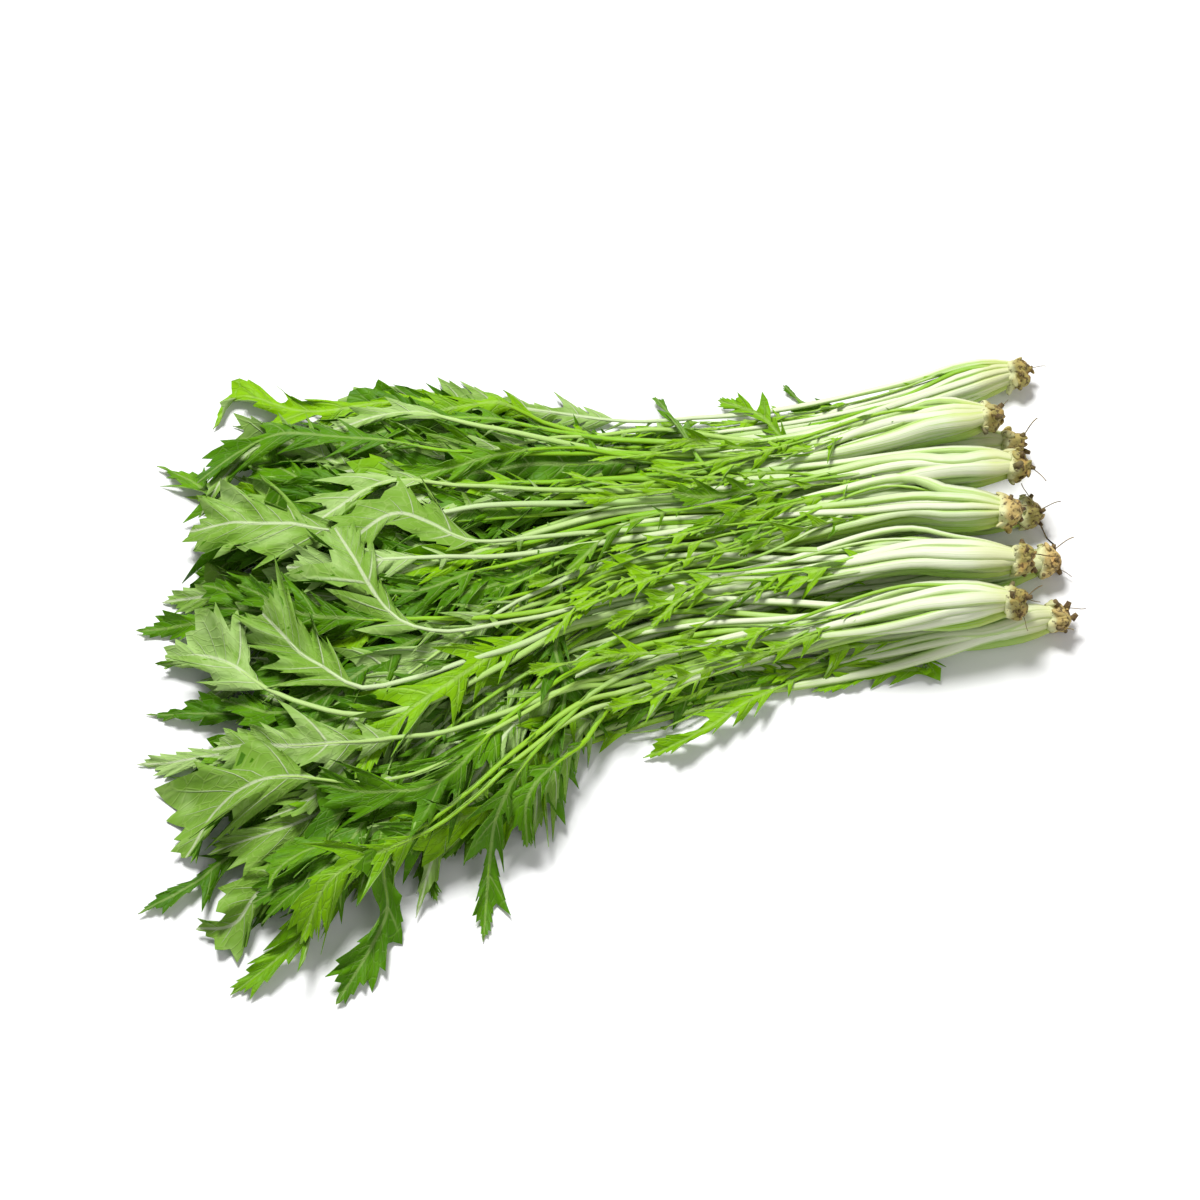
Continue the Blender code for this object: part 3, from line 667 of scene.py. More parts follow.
def head_stems(name, order):
    """The plans of a head's stems: pixels, shape, place in the bundle, and how they are laid."""
    _, part_pixel, (first, last) = HEADS[name]
    draw = random.Random(100 + order)
    plans = [(pixels, shape, "shown") for pixels, *shape in SHOWN_STEMS[name]]
    fills = STEMS_PER_HEAD - len(plans)
    for k in range(fills):
        share = first + (last - first) * (k + draw.random()) / fills
        plans.append((*fill_stem(draw, part_pixel, share, *FILL_SHORT), "fill"))
    plans.sort(key=lambda plan: plan[0][1][1])
    stems = []
    for k, (pixels, shape, kind) in enumerate(plans):
        across = 1 - 2 * (k + 0.5) / len(plans)
        above = math.sqrt(1 - across * across) * (1 if k % 2 else -1)
        ring = 1 if k % 4 in (1, 2) else INNER_RING
        stems.append((kind, k, pixels, shape, (ring * across, ring * above)))
    for k in range(YOUNG_PER_HEAD):
        share = first + (last - first) * (k + draw.random()) / YOUNG_PER_HEAD
        pixels, (blade, width, _, _) = fill_stem(draw, part_pixel, share, *YOUNG_SHORT)
        across = draw.uniform(-0.7, 0.7)
        above = draw.uniform(-0.2, 1)
        blade *= draw.uniform(*YOUNG_BLADE)
        shape = (blade, YOUNG_WIDTH * width, draw.uniform(*YOUNG_CUTS), "top")
        stems.append(("young", STEMS_PER_HEAD + k, pixels, shape, (across, above)))
    ranks = {"fill": 0, "young": 1, "shown": 2}
    return sorted(stems, key=lambda stem: ranks[stem[0]])


class Head:
    """One head: its crown, the place where its stalks part, what it lies on, and its stems."""

    def __init__(self, name, order, pile, layer):
        crown_pixel, part_pixel, _ = HEADS[name]
        low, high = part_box("root_crown_" + name)
        self.name, self.order = name, order
        self.height = (low[2] + high[2]) / 2
        self.crown = photo_point(crown_pixel, self.height)
        self.parting = photo_point(part_pixel, self.height)
        self.under, self.ground = (
            below + BESIDE * (now - below) for below, now in zip(layer, (pile.smooth, pile.settled))
        )
        self.plans = head_stems(name, order)
        self.laid = []

    def start(self, across, k):
        """The plan points where a stalk leaves the crown and joins the bundle."""
        draw = random.Random(7000 * self.order + k)
        stray = [np.array((0.0, draw.gauss(0, STRAY))) for _ in range(2)]
        offset = np.array((0.0, across))
        along = self.parting - self.crown
        return [
            self.crown + STALK_START + GATHERED * STALK_RING * offset,
            self.crown + 0.1 * along + STALK_RING * offset,
            self.crown + 0.4 * along + (0.4 * STALK_RING + 0.6 * BUNDLE[0]) * offset + 0.6 * stray[0],
            self.parting + BUNDLE[0] * offset + stray[1],
        ]

    def lay(self, kinds, pile):
        """Lays this head's stems of these kinds on the pile."""
        for kind, k, pixels, shape, place in self.plans:
            if kind in kinds:
                points = [*self.start(place[0], k), *(lying_point(p, pile) for p in pixels)]
                stem = LeafyStem(points, shape, place, 1000 * self.order + k, kind)
                lay_stem(stem, pile, self)
                self.laid.append(stem)
        pile.stamp(self.crown + CROWN_AREA, np.full(len(CROWN_AREA), self.height + HEAD_RADIUS))
        pile.settle()


def lay_bunch():
    """Lays every head. What shows on the upper heads comes last, on top of the bunch."""
    pile = Pile()
    heads = []
    for order, name in enumerate(HEADS):
        if order in (0, LOW_HEADS):
            layer = pile.smooth, pile.settled
        heads.append(Head(name, order, pile, layer))
        heads[-1].lay(("fill", "young", "shown") if order < LOW_HEADS else ("fill",), pile)
    for kind in ("shown", "young"):
        for head in heads[LOW_HEADS:]:
            head.lay((kind,), pile)
    for head in heads:
        for stem in head.laid:
            stem.sink(pile)
    return heads


def blade_mesh(stem, start):
    """A blade's points, faces and the numbers its finish reads, as a closed thin body."""
    rows = slice(stem.blade_from, None)
    middle = np.concatenate([stem.plan[rows] + CENTRE_OFFSET, stem.height[rows, :, None]], -1)
    normal = np.cross(np.gradient(middle, axis=0), np.gradient(middle, axis=1))
    normal /= np.maximum(np.linalg.norm(normal, axis=-1, keepdims=True), 1e-12)
    normal *= np.where(normal[..., 2:].mean() < 0, -1, 1)
    out = stem.out[rows]
    half = (BLADE_HALF * (1 - out**3) + EDGE_HALF * out**3)[..., None]
    upper, lower = middle + half * normal, middle - half * normal
    lower[..., 2] = np.maximum(lower[..., 2], LOWEST_BLADE)
    upper[..., 2] = np.maximum(upper[..., 2], lower[..., 2] + EDGE_HALF)
    n, m = out.shape
    index = np.arange(n * m).reshape(n, m)
    a, b, c, d = index[:-1, :-1], index[:-1, 1:], index[1:, 1:], index[1:, :-1]
    top = np.stack([d, c, b, a], -1).reshape(-1, 4)
    bottom = top[:, ::-1] + n * m
    border = np.concatenate([index[0, :], index[1:, -1], index[-1, -2::-1], index[-2:0:-1, 0]])
    after = np.roll(border, -1)
    rim = np.stack([after, after + n * m, border + n * m, border], -1)
    faces = np.concatenate([top, bottom, rim]) + start
    smooth = np.arange(len(faces)) < len(top) + len(bottom)
    points = np.concatenate([upper.reshape(-1, 3), lower.reshape(-1, 3)])
    s = stem.s[rows][:, None] * np.ones(m)
    signed = np.linspace(-1, 1, m) * stem.reaches[rows]
    both_sides = {"across": signed, "along": s, "out": out, "vein": stem.vein[rows]}
    numbers = {key: np.tile(values.ravel(), 2) for key, values in both_sides.items()}
    numbers |= {
        "underside": np.repeat([1.0 * stem.under_up, 1.0 - stem.under_up], n * m),
        "tint": stem.tint,
        "young": stem.young,
    }
    return points, faces, smooth, numbers


def stalk_line(stem, start):
    """The rib's line from the crown to the leaf's tip, with its half widths, and its edges."""
    keep = np.arange(len(stem.s)) < stem.blade_from
    keep[stem.blade_from::RIB_STRIDE] = True
    keep[-1] = True
    middle = stem.columns // 2
    plan = stem.plan[keep, middle] + CENTRE_OFFSET
    points = np.column_stack([plan, stem.height[keep, middle]])
    count = len(points)
    s = stem.s[keep]
    wide = stem.half_width(s)
    side = RIB_ABOVE if stem.under_up else -RIB_BELOW
    points[:, 2] += side * wide * STALK_FLATNESS * ease(s, stem.first, stem.bare)
    points[:, 2] = np.maximum(points[:, 2], wide * STALK_FLATNESS)
    edges = np.column_stack([np.arange(count - 1), np.arange(1, count)]) + start
    numbers = {
        "half_width": wide,
        "turn": stem.turned(s),
        "along": s,
        "tint": stem.tint,
        "young": stem.young,
        "leafward": ease(s, BASE_LENGTH, stem.bare),
        "underside": stem.under_up,
        # How far below the bundle's middle the stalk lies, for its painted shade
        "inside": max(0.0, SHADE_BELOW - stem.above),
    }
    return points, edges, numbers


def spread(values, points):
    """A value for each point, where one is given for all of them."""
    return np.broadcast_to(values, len(points))


def plain_mesh(name, points, edges, faces, smooth, numbers):
    """A mesh from arrays, with the numbers as point attributes."""
    mesh = bpy.data.meshes.new(name)
    mesh.from_pydata(points, edges, faces)
    mesh.polygons.foreach_set("use_smooth", smooth)
    for key, values in numbers.items():
        attribute = mesh.attributes.new(key, "FLOAT", "POINT")
        attribute.data.foreach_set("value", np.float32(spread(values, points)))
    mesh.update()
    return mesh


def placed(name, data, place=(0, 0, 0), turn=(0, 0, 0)):
    """A new object in the scene."""
    made = bpy.data.objects.new(name, data)
    made.location = place
    made.rotation_euler = turn
    bpy.context.scene.collection.objects.link(made)
    return made


class Number:
    """A socket of a node tree, so that its maths reads as Python."""

    def __init__(self, maker, socket):
        self.maker, self.socket = maker, socket

    def maths(self, operation, *values):
        return self.maker.node("ShaderNodeMath", {"operation": operation}, *values)

    def __add__(self, other):
        return self.maths("ADD", self, other)

    def __sub__(self, other):
        return self.maths("SUBTRACT", self, other)

    def __rsub__(self, other):
        return self.maths("SUBTRACT", other, self)

    def __mul__(self, other):
        return self.maths("MULTIPLY", self, other)

    def __truediv__(self, other):
        return self.maths("DIVIDE", self, other)

    def __rtruediv__(self, other):
        return self.maths("DIVIDE", other, self)

    def __lt__(self, other):
        return self.maths("LESS_THAN", self, other)

    def __gt__(self, other):
        return self.maths("GREATER_THAN", self, other)

    def __abs__(self):
        return self.maths("ABSOLUTE", self)

    def wrapped(self):
        """The part after the decimal point."""
        return self.maths("FRACT", self)

    def step(self, low, high):
        """0 below low, 1 above high, smooth between."""
        smooth = {"interpolation_type": "SMOOTHSTEP"}
        return self.maker.node("ShaderNodeMapRange", smooth, self, low, high, 0.0, 1.0)

    def output(self, place):
        """Another output of the same node."""
        return Number(self.maker, self.socket.node.outputs[place])

    __radd__ = __add__
    __rmul__ = __mul__


class NodeMaker:
    """Adds nodes to a tree: settings first, then values or links of its sockets, by place or by name."""

    def __init__(self, tree):
        self.tree = tree

    def put(self, value, socket):
        for one in value if isinstance(value, list) else [value]:
            if isinstance(one, Number):
                self.tree.links.new(one.socket, socket)
            elif one is not None:
                socket.default_value = one

    def node(self, kind, settings=None, *values, out=0, **sockets):
        made = self.tree.nodes.new(kind)
        for key, value in (settings or {}).items():
            setattr(made, key, value)
        for place, value in enumerate(values):
            self.put(value, made.inputs[place])
        for key, value in sockets.items():
            self.put(value, made.inputs[key.replace("_", " ")])
        return Number(self, made.outputs[out])

    def parts(self, vector):
        """The x, y and z of a vector."""
        x = self.node("ShaderNodeSeparateXYZ", None, vector)
        return x, x.output(1), x.output(2)


class ShapeTree(NodeMaker):
    """A Geometry Nodes tree with named inputs."""

    def __init__(self, name, **inputs):
        super().__init__(bpy.data.node_groups.new(name, "GeometryNodeTree"))
        sockets = self.tree.interface
        sockets.new_socket("Geometry", in_out="INPUT", socket_type="NodeSocketGeometry")
        self.keys = {}
        for label, value in inputs.items():
            kind = {int: "Int", float: "Float"}.get(type(value), "Material")
            socket = sockets.new_socket(label, in_out="INPUT", socket_type="NodeSocket" + kind)
            self.keys[label] = (socket.identifier, value)
        sockets.new_socket("Geometry", in_out="OUTPUT", socket_type="NodeSocketGeometry")
        self.start = self.tree.nodes.new("NodeGroupInput")
        self.end = self.tree.nodes.new("NodeGroupOutput")

    def given(self, label):
        return Number(self, self.start.outputs[label])

    def number(self, key):
        return self.node("GeometryNodeInputNamedAttribute", {"data_type": "FLOAT"}, Name=key)

    def store(self, kind, geometry, key, value):
        """Keeps a value of this kind on the points of a shape."""
        settings = {"data_type": kind, "domain": "POINT"}
        return self.node(
            "GeometryNodeStoreNamedAttribute", settings, Geometry=geometry, Name=key, Value=value
        )

    def finish(self, geometry, *materials):
        """Ends the tree: real geometry, then each material on what it is for."""
        last = self.node("GeometryNodeRealizeInstances", None, geometry)
        for material, chosen in materials:
            last = self.node(
                "GeometryNodeSetMaterial", Geometry=last, Material=self.given(material), Selection=chosen
            )
        self.put(last, self.end.inputs[0])

    def applied(self, piece, **values):
        """Runs the tree on an object and keeps the result as its plain mesh."""
        modifier = piece.modifiers.new(self.tree.name, "NODES")
        modifier.node_group = self.tree
        for label, (key, default) in self.keys.items():
            modifier[key] = values.get(label, default)
        graph = bpy.context.evaluated_depsgraph_get()
        result = bpy.data.meshes.new_from_object(piece.evaluated_get(graph))
        piece.modifiers.clear()
        before = piece.data
        piece.data = result
        bpy.data.meshes.remove(before)
        return piece


def stems_tree(leaf, stalk):
    """Sweeps a ribbed, flattened section along a mesh's loose lines and keeps its faces as blades."""
    tree = ShapeTree("Leafy Stems", Flatness=STALK_FLATNESS, **STALK_RIBS, Leaf=leaf, Stalk=stalk)
    mesh = tree.given("Geometry")
    loose = tree.node("GeometryNodeInputMeshEdgeNeighbors") < 0.5
    line = tree.node("GeometryNodeMeshToCurve", None, mesh, loose)
    blades = tree.node("GeometryNodeSeparateGeometry", {"domain": "EDGE"}, mesh, loose, out=1)
    upright = tree.node("GeometryNodeSetCurveNormal", {"mode": "Z_UP"}, line)
    turned = tree.node("GeometryNodeSetCurveTilt", Curve=upright, Tilt=tree.number("turn"))
    circle = tree.node("GeometryNodeCurvePrimitiveCircle", Resolution=tree.given("Sides"), Radius=1.0)
    place = tree.node("GeometryNodeInputPosition")
    x, y, _ = tree.parts(place)
    angle = x.maths("ARCTAN2", y, x)
    ribbed = x.maths("COSINE", angle * tree.given("Ribs")) * tree.given("RibDepth") + 1.0
    scale = tree.node("ShaderNodeCombineXYZ", None, ribbed, ribbed * tree.given("Flatness"), 1.0)
    moved = tree.node("ShaderNodeVectorMath", {"operation": "MULTIPLY"}, place, scale)
    section = tree.node("GeometryNodeSetPosition", Geometry=circle, Position=moved)
    section = tree.store("FLOAT_VECTOR", section, "section", place)
    wide = tree.number("half_width")
    swept = tree.node(
        "GeometryNodeCurveToMesh", Curve=turned, Profile_Curve=section, Scale=wide, Fill_Caps=True
    )
    smooth = tree.node("GeometryNodeSetShadeSmooth", None, swept)
    both = tree.node("GeometryNodeJoinGeometry", None, [blades, smooth])
    tree.finish(both, ("Leaf", True), ("Stalk", wide > 0.0))
    return tree


def leafy_piece(name, stems, tree):
    """One head's blades and stalks as one piece."""
    points, edges, faces, smooth = [], [], [], []
    found = {}
    start = 0
    for stem in stems:
        blade, quads, soft, blade_numbers = blade_mesh(stem, start)
        start += len(blade)
        line, links, line_numbers = stalk_line(stem, start)
        start += len(line)
        points += [blade, line]
        edges.append(links)
        faces.append(quads)
        smooth.append(soft)
        for key in {**blade_numbers, **line_numbers}:
            of_blade, of_line = blade_numbers.get(key, 0.0), line_numbers.get(key, 0.0)
            found.setdefault(key, []).extend([spread(of_blade, blade), spread(of_line, line)])
    numbers = {key: np.concatenate(values) for key, values in found.items()}
    points, edges, faces, smooth = (np.concatenate(parts) for parts in (points, edges, faces, smooth))
    return tree.applied(placed(name, plain_mesh(name, points, edges, faces, smooth, numbers)))


class Finish(NodeMaker):
    """A material and its tree."""

    def __init__(self, name):
        self.material = bpy.data.materials.new(name)
        self.material.use_nodes = True
        super().__init__(self.material.node_tree)
        self.shader = self.tree.nodes["Principled BSDF"]
        self.output = self.tree.nodes["Material Output"]

    def number(self, key):
        return self.node("ShaderNodeAttribute", {"attribute_name": key}, out=2)

    def vector(self, key):
        return self.node("ShaderNodeAttribute", {"attribute_name": key}, out=1)

    def object_place(self):
        return self.node("ShaderNodeTexCoord", out=3)

    def mix(self, share, a, b):
        """From colour a at 0 to colour b at 1."""
        mixed = self.node("ShaderNodeMix", {"data_type": "RGBA"}, share, out=2)
        for place, value in ((6, a), (7, b)):
            colour = (*value, 1) if isinstance(value, tuple) else value
            self.put(colour, mixed.socket.node.inputs[place])
        return mixed

    def noise(self, vector, scale, detail=3.0, roughness=0.55):
        return self.node(
            "ShaderNodeTexNoise", Vector=vector, Scale=scale, Detail=detail, Roughness=roughness
        )

    def bump(self, height, strength, distance):
        return self.node("ShaderNodeBump", Strength=strength, Distance=distance, Height=height)

    def surface(self, **sockets):
        for key, value in sockets.items():
            self.put(value, self.shader.inputs[key.replace("_", " ")])


LEAF_BRIGHT = (0.245, 0.510, 0.002)
LEAF_GREEN = (0.125, 0.325, 0.001)
# Deep green: random darker tone, and painted shade in the creases and vein troughs
LEAF_DEEP = (0.050, 0.165, 0.001)
LEAF_UNDER = (0.390, 0.570, 0.190)
# Deep sage: random darker tone, painted shade in the creases, and darker beside the veins
LEAF_UNDER_DEEP = (0.180, 0.350, 0.035)
VEIN_PALE = (0.500, 0.640, 0.220)
STALK_WHITE = (0.690, 0.730, 0.530)
# Lime for the stalks' real streaks, and for painted shade on stalk sides and on stalks low in a bundle
STALK_LIME = (0.290, 0.520, 0.015)
STALK_BLUSH = (0.560, 0.560, 0.130)
STALK_PALE = (0.360, 0.570, 0.070)
STALK_GREEN = (0.190, 0.440, 0.003)
CROWN_PALE = (0.620, 0.640, 0.340)
CROWN_TAN = (0.580, 0.430, 0.160)
CROWN_OLIVE = (0.360, 0.310, 0.085)
CROWN_ORANGE = (0.480, 0.290, 0.080)
CROWN_BROWN = (0.070, 0.038, 0.016)
LEAF_THROUGH = (0.26, 0.56, 0.01, 1)
THROUGH_SHARE = 0.16


def leaf_finish():
    """Satin green upper sides and sage undersides, with veins, creases and a little light through.
    Painted shade darkens the creases' hollows and the vein troughs, and painted highlights lighten the
    creases' ridges.
    """
    finish = Finish("leaf")
    across, along = finish.number("across"), finish.number("along")
    out, vein = finish.number("out"), finish.number("vein")
    under, tint, young = finish.number("underside"), finish.number("tint"), finish.number("young")
    leaf_place = finish.node("ShaderNodeCombineXYZ", None, across, along, tint * 3.0)
    broad = finish.noise(finish.object_place(), 45.0, 2.0)
    creases = finish.noise(leaf_place, 150.0, 3.0, 0.6)
    fine = finish.noise(leaf_place, 520.0, 3.0)
    to_edge = {"feature": "DISTANCE_TO_EDGE"}
    network = finish.node("ShaderNodeTexVoronoi", to_edge, Vector=leaf_place, Scale=330.0)
    veinlets = 1.0 - network.step(0.0, 0.09)
    from_vein = abs(vein.wrapped() - 0.5)
    side_vein = (1.0 - from_vein.step(0.01, 0.045)) * (1.0 - out.step(0.3, 0.9)) * out.step(0.02, 0.1)
    # Near the veins: on upper sides the blade dips there, so darkening it is painted shade in the vein
    # troughs; undersides are darker beside their raised veins
    beside_vein = (1.0 - from_vein.step(0.03, 0.2)) * (1.0 - side_vein)
    midrib = 1.0 - abs(across).step(0.0004, 0.0012)
    # Random tone by leaf and patch, plus painted shade where the crease bump is low
    shade = (tint * 0.5 + broad * 0.9 + (creases - 0.5) * 0.6 - 0.2).step(0.1, 0.9)
    green = finish.mix(shade, LEAF_DEEP, LEAF_GREEN)
    # Young leaves and random tone are brighter; brighter where the crease bump is high is a painted
    # highlight
    bright = (tint - 0.6) * 2.0 + young * 1.5 + (creases - 0.5) * 0.8
    green = finish.mix(bright.step(0.0, 1.0), green, LEAF_BRIGHT)
    # Painted shade in the vein troughs
    green = finish.mix(beside_vein * 0.25, green, LEAF_DEEP)
    green = finish.mix(veinlets * 0.08 + side_vein * 0.25 + midrib * 0.3, green, VEIN_PALE)
    # Undersides: random tone, with painted shade where the crease bump is low and painted highlight
    # where it is high
    pale = finish.mix((shade * 0.8 + (creases - 0.5) * 0.8).step(0.0, 0.9), LEAF_UNDER_DEEP, LEAF_UNDER)
    # Undersides darker beside the veins
    pale = finish.mix(beside_vein * 0.3, pale, LEAF_UNDER_DEEP)
    pale = finish.mix(veinlets * 0.16, pale, VEIN_PALE)
    pale = finish.mix(side_vein * 0.5 + midrib * 0.6, pale, STALK_WHITE)
    colour = finish.mix(under, green, pale)
    raised = side_vein * (under * 1.6 - 0.6) + veinlets * (under * 0.6 - 0.35)
    raised = raised + fine * 0.3 + creases * 1.4
    finish.surface(
        Base_Color=colour,
        Roughness=0.40 + under * 0.2 + fine * 0.1,
        Normal=finish.bump(raised, 0.6, 0.0008),
        Specular_IOR_Level=0.12,
    )
    surface = Number(finish, finish.shader.outputs[0])
    through = finish.node("ShaderNodeBsdfTranslucent", None, LEAF_THROUGH)
    mixed = finish.node("ShaderNodeMixShader", None, THROUGH_SHARE, surface, through)
    finish.put(mixed, finish.output.inputs[0])
    return finish.material


def stalk_finish():
    """White juicy stalks with lime streaks, greening towards the leaves; painted shade makes their sides
    and the stalks low in a bundle lime.
    """
    finish = Finish("stalk")
    along, tint = finish.number("along"), finish.number("tint")
    leafward, young = finish.number("leafward"), finish.number("young")
    section = finish.vector("section")
    apart = finish.node("ShaderNodeVectorMath", {"operation": "SCALE"}, section, Scale=2.6)
    shifted = finish.node("ShaderNodeCombineXYZ", None, 0.0, 0.0, along * 9.0 + tint * 40.0)
    place = finish.node("ShaderNodeVectorMath", {"operation": "ADD"}, apart, shifted)
    streaks = finish.noise(place, 3.2, 4.0, 0.6)
    patches = finish.noise(finish.object_place(), 60.0, 2.0)
    # Painted shade: a stalk's broad edges, where it meets its neighbours, are mixed towards lime
    side = abs(finish.parts(section)[0]).step(0.45, 1.0)
    own = (tint * 7.0).wrapped()
    greening = (along * 9.0 + (own - 0.55) * 0.9 + (streaks - 0.5) * 1.0 + young * 0.6).step(0.3, 1.5)
    colour = finish.mix(greening, STALK_WHITE, STALK_PALE)
    greener = (leafward * 1.2 + (patches - 0.5) * 0.7 + (own - 0.5) * 0.7 + young * 0.5).step(0.15, 1.15)
    colour = finish.mix(greener * 0.95, colour, STALK_GREEN)
    # Lime from the real streaks and from the painted shade on the sides
    lime = side * (0.6 + greening * 0.3) + streaks.step(0.5, 0.72) * 0.5
    colour = finish.mix(lime, colour, STALK_LIME)
    colour = finish.mix(leafward * finish.number("underside") * 0.6, colour, STALK_WHITE)
    # Painted shade: stalks lying low in the bundle, under the others, are mixed towards lime
    colour = finish.mix(finish.number("inside") * 0.55, colour, STALK_LIME)
    blush = (1.0 - (along * 100.0 + (patches - 0.5) * 2.4).step(0.2, 1.6)) * 0.4
    colour = finish.mix(blush, colour, STALK_BLUSH)
    finish.surface(
        Base_Color=colour,
        Roughness=0.28 + streaks * 0.12,
        Normal=finish.bump(streaks, 0.4, 0.0005),
        Specular_IOR_Level=0.25,
    )
    return finish.material


def crown_finish():
    """Tan to olive skin that browns away from the stalks, with dark scars, stubs and rootlets."""
    finish = Finish("root_crown")
    place = finish.object_place()
    outward, dark, hue = finish.number("outward"), finish.number("dark"), finish.number("hue")
    blotches = finish.noise(place, 240.0, 4.0, 0.6)
    spots = finish.noise(place, 620.0, 3.0, 0.6)
    skin = finish.mix((hue + (blotches - 0.5) * 0.5).step(0.2, 0.8), CROWN_OLIVE, CROWN_TAN)
    skin = finish.mix((outward * 0.6 + (blotches - 0.5) * 2.2).step(0.35, 0.9) * 0.8, skin, CROWN_ORANGE)
    skin = finish.mix(1.0 - (outward + (blotches - 0.5) * 0.7).step(0.05, 0.5), skin, CROWN_PALE)
    skin = finish.mix((spots + outward * 0.12).step(0.57, 0.70) * 0.85, skin, CROWN_BROWN)
    colour = finish.mix(dark * 0.9, skin, CROWN_BROWN)
    finish.surface(
        Base_Color=colour,
        Roughness=0.6 + spots * 0.2,
        Normal=finish.bump(blotches + spots * 0.5, 0.6, 0.0009),
        Specular_IOR_Level=0.3,
    )
    return finish.material


def crown_tree(skin):
    """Adds leaf scars, cut stubs and thin rootlets to a crown's body, none of them below the floor."""
    tree = ShapeTree(
        "Root Crown", ScarGap=0.0027, ScarSize=0.0016, StubGap=0.0042, StubSize=0.0009,
        RootletGap=0.0052, RootletLength=0.0085, RootletRadius=0.00022, Seed=1, Skin=skin,
    )
    body, seed = tree.given("Geometry"), tree.given("Seed")

    def varied(low, high, **sockets):
        settings = {"data_type": "FLOAT"}
        return tree.node("FunctionNodeRandomValue", settings, None, None, low, high, out=1, **sockets)

    def scattered(shape, gap, size, dark, facing, least, offset):
        """Dark copies of a shape where the body faces outwards, with random sizes and leans."""
        outwards = tree.parts(tree.node("GeometryNodeInputNormal"))[0] > facing
        at = tree.node(
            "GeometryNodeDistributePointsOnFaces", {"distribute_method": "POISSON"}, Mesh=body,
            Selection=outwards, Distance_Min=tree.given(gap), Density_Max=MOST_A_SQUARE_METRE, Seed=seed,
        )
        scale = varied(least, MOST_GROWN, ID=seed, Seed=offset) * varied(*EACH_VARIES, Seed=offset + 1)
        copies = tree.node(
            "GeometryNodeInstanceOnPoints", Points=at, Instance=tree.store("FLOAT", shape, "dark", dark),
            Rotation=at.output(2), Scale=scale * tree.given(size),
        )
        lean = tree.node(
            "FunctionNodeRandomValue", {"data_type": "FLOAT_VECTOR"}, (-LEANING, -LEANING, 0.0),
            (LEANING, LEANING, 6.28), Seed=offset + 2,
        )
        return tree.node("GeometryNodeRotateInstances", Instances=copies, Rotation=lean)

    knob = tree.node("GeometryNodeMeshIcoSphere", Radius=1.0, Subdivisions=3)
    scar = tree.node("GeometryNodeTransform", Geometry=knob, Scale=(1.25, 0.62, 0.40))
    stub = tree.node("GeometryNodeMeshCone", Vertices=9, Radius_Top=0.75, Radius_Bottom=1.15, Depth=2.4)
    line = tree.node(
        "GeometryNodeCurvePrimitiveBezierSegment", Resolution=12, Start=(0.0, 0.0, -0.1),
        Start_Handle=(0.0, 0.0, 0.35), End_Handle=(0.45, 0.1, 0.6), End=(0.55, 0.3, 1.0),
    )
    thin = tree.given("RootletRadius") / tree.given("RootletLength")
    section = tree.node("GeometryNodeCurvePrimitiveCircle", Resolution=5, Radius=thin)
    rootlet = tree.node("GeometryNodeCurveToMesh", Curve=line, Profile_Curve=section, Fill_Caps=True)
    scars = scattered(scar, "ScarGap", "ScarSize", dark=0.12, facing=-0.6, least=0.8, offset=3)
    stubs = scattered(stub, "StubGap", "StubSize", dark=0.85, facing=0.1, least=0.8, offset=17)
    rootlets = scattered(
        rootlet, "RootletGap", "RootletLength", dark=0.7, facing=0.45, least=0.6, offset=29
    )
    every = tree.node("GeometryNodeJoinGeometry", None, [body, scars, stubs, rootlets])
    real = tree.node("GeometryNodeRealizeInstances", None, every)
    x, y, z = tree.parts(tree.node("GeometryNodeInputPosition"))
    above = tree.node("ShaderNodeCombineXYZ", None, x, y, z.maths("MAXIMUM", z, LOWEST_SKIN))
    lifted = tree.node("GeometryNodeSetPosition", Geometry=real, Position=above)
    tree.finish(tree.node("GeometryNodeSetShadeSmooth", None, lifted), ("Skin", True))
    return tree


def crown_piece(name, head, tree):
    """A head's cut root crown: a knobbly body with its scars, stubs and rootlets."""
    draw = random.Random(50 + head.order)
    phases = [draw.uniform(0, 2 * math.pi) for _ in range(6)]
    stations = np.linspace(0, len(CROWN_PROFILE) - 1, CROWN_RINGS)
    profile = read_columns(stations, range(len(CROWN_PROFILE)), CROWN_PROFILE) * MM
    along, radius = profile[:, :1], profile[:, 1:]
    angle = np.linspace(0, 2 * math.pi, CROWN_SIDES, endpoint=False)
    lumps = sum(
        depth * np.sin(count * angle + phase + along * drift)
        for (depth, count, drift), phase in zip(CROWN_LUMPS, phases)
    )
    r = radius * (draw.uniform(0.86, 1.0) + lumps)
    x, y = head.crown + CENTRE_OFFSET
    x = x + CROWN_GAP + along * (1 + 0.12 * np.sin(angle * 2 + phases[3]))
    y = y + r * np.cos(angle)
    z = np.maximum(head.height + r * np.sin(angle), LOWEST_SKIN)
    rings = np.stack([x, y, z], -1).reshape(-1, 3)
    ends = np.array([[x[k].mean(), y[k].mean(), z[k].mean()] for k in (0, -1)])
    points = np.concatenate([rings, ends])
    faces = []
    last = (CROWN_RINGS - 1) * CROWN_SIDES
    for k in range(CROWN_SIDES):
        after = (k + 1) % CROWN_SIDES
        faces.append((len(rings), after, k))
        faces.append((len(rings) + 1, last + k, last + after))
        for i in range(0, last, CROWN_SIDES):
            faces.append((i + k, i + after, i + after + CROWN_SIDES, i + k + CROWN_SIDES))
    outward = along / along[-1] * np.ones(CROWN_SIDES)
    numbers = {
        "outward": np.concatenate([outward.ravel(), (0, 1)]),
        "dark": 0.0,
        "hue": draw.uniform(0, 1),
    }
    mesh = plain_mesh(name, points, [], faces, np.ones(len(faces), bool), numbers)
    return tree.applied(placed(name, mesh), Seed=head.order + 3)


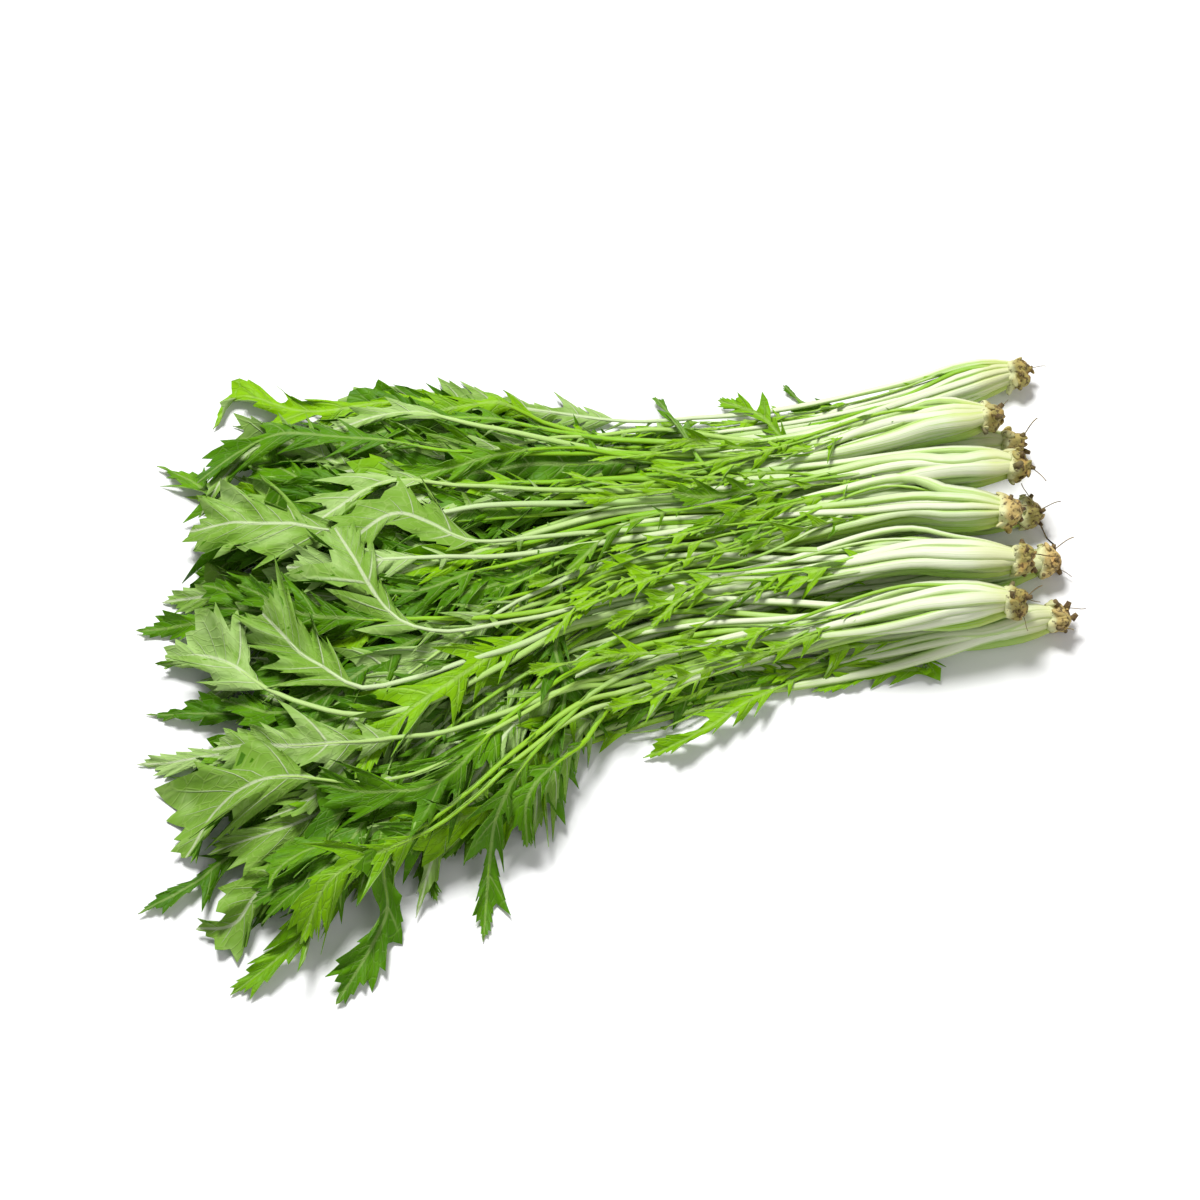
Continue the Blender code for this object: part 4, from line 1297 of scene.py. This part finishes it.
def add_camera():
    data = bpy.data.cameras.new("camera")
    data.sensor_width = SENSOR_MM
    data.lens = SENSOR_MM * VIEW_DISTANCE / (FRAME_PIXELS * PIXEL)
    data.clip_start = NEAREST_SEEN
    x, y = CENTRE_OFFSET - (0, VIEW_DISTANCE * math.cos(VIEW_HEIGHT_ANGLE))
    place = (x, y, VIEW_DISTANCE * math.sin(VIEW_HEIGHT_ANGLE))
    camera = placed("camera", data, place, (math.pi / 2 - VIEW_HEIGHT_ANGLE, 0, 0))
    bpy.context.scene.camera = camera


def add_lamp(name, place, size, power):
    """A round lamp that faces the bunch."""
    data = bpy.data.lights.new(name, "AREA")
    data.shape = "DISK"
    data.size = size
    data.energy = power
    x, y, z = place
    placed(name, data, place, (math.atan2(math.hypot(x, y), z), 0, math.atan2(y, x) + math.pi / 2))


def add_studio():
    """Pale floor, soft light from above and behind, and a bright room."""
    signs = ((-1, -1), (1, -1), (1, 1), (-1, 1))
    corners = [(FLOOR_HALF * x, FLOOR_HALF * y, -FLOOR_DROP) for x, y in signs]
    data = bpy.data.meshes.new("floor")
    data.from_pydata(corners, [], [(0, 1, 2, 3)])
    floor = placed("floor", data)
    paper = Finish("paper")
    paper.surface(Base_Color=PAPER, Roughness=0.9)
    floor.data.materials.append(paper.material)
    for name, lamp in LAMPS.items():
        add_lamp(name, *lamp)
    world = bpy.data.worlds.new("room")
    world.use_nodes = True
    background = world.node_tree.nodes["Background"]
    background.inputs["Color"].default_value = (1, 1, 1, 1)
    background.inputs["Strength"].default_value = ROOM_LIGHT
    bpy.context.scene.world = world
    bpy.context.scene.view_settings.view_transform = "Standard"


def main():
    add_camera()
    add_studio()
    stems = stems_tree(leaf_finish(), stalk_finish())
    crowns = crown_tree(crown_finish())
    for head in lay_bunch():
        leafy = leafy_piece("leaves_and_stalks_" + head.name, head.laid, stems)
        root = crown_piece("crown_with_roots_" + head.name, head, crowns)
        for piece, node, slot in (
            (leafy, "leafy_stems_" + head.name, "leaf_green"),
            (root, "root_crown_" + head.name, "root_brown"),
        ):
            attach(piece, "root")
            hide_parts(node)


main()
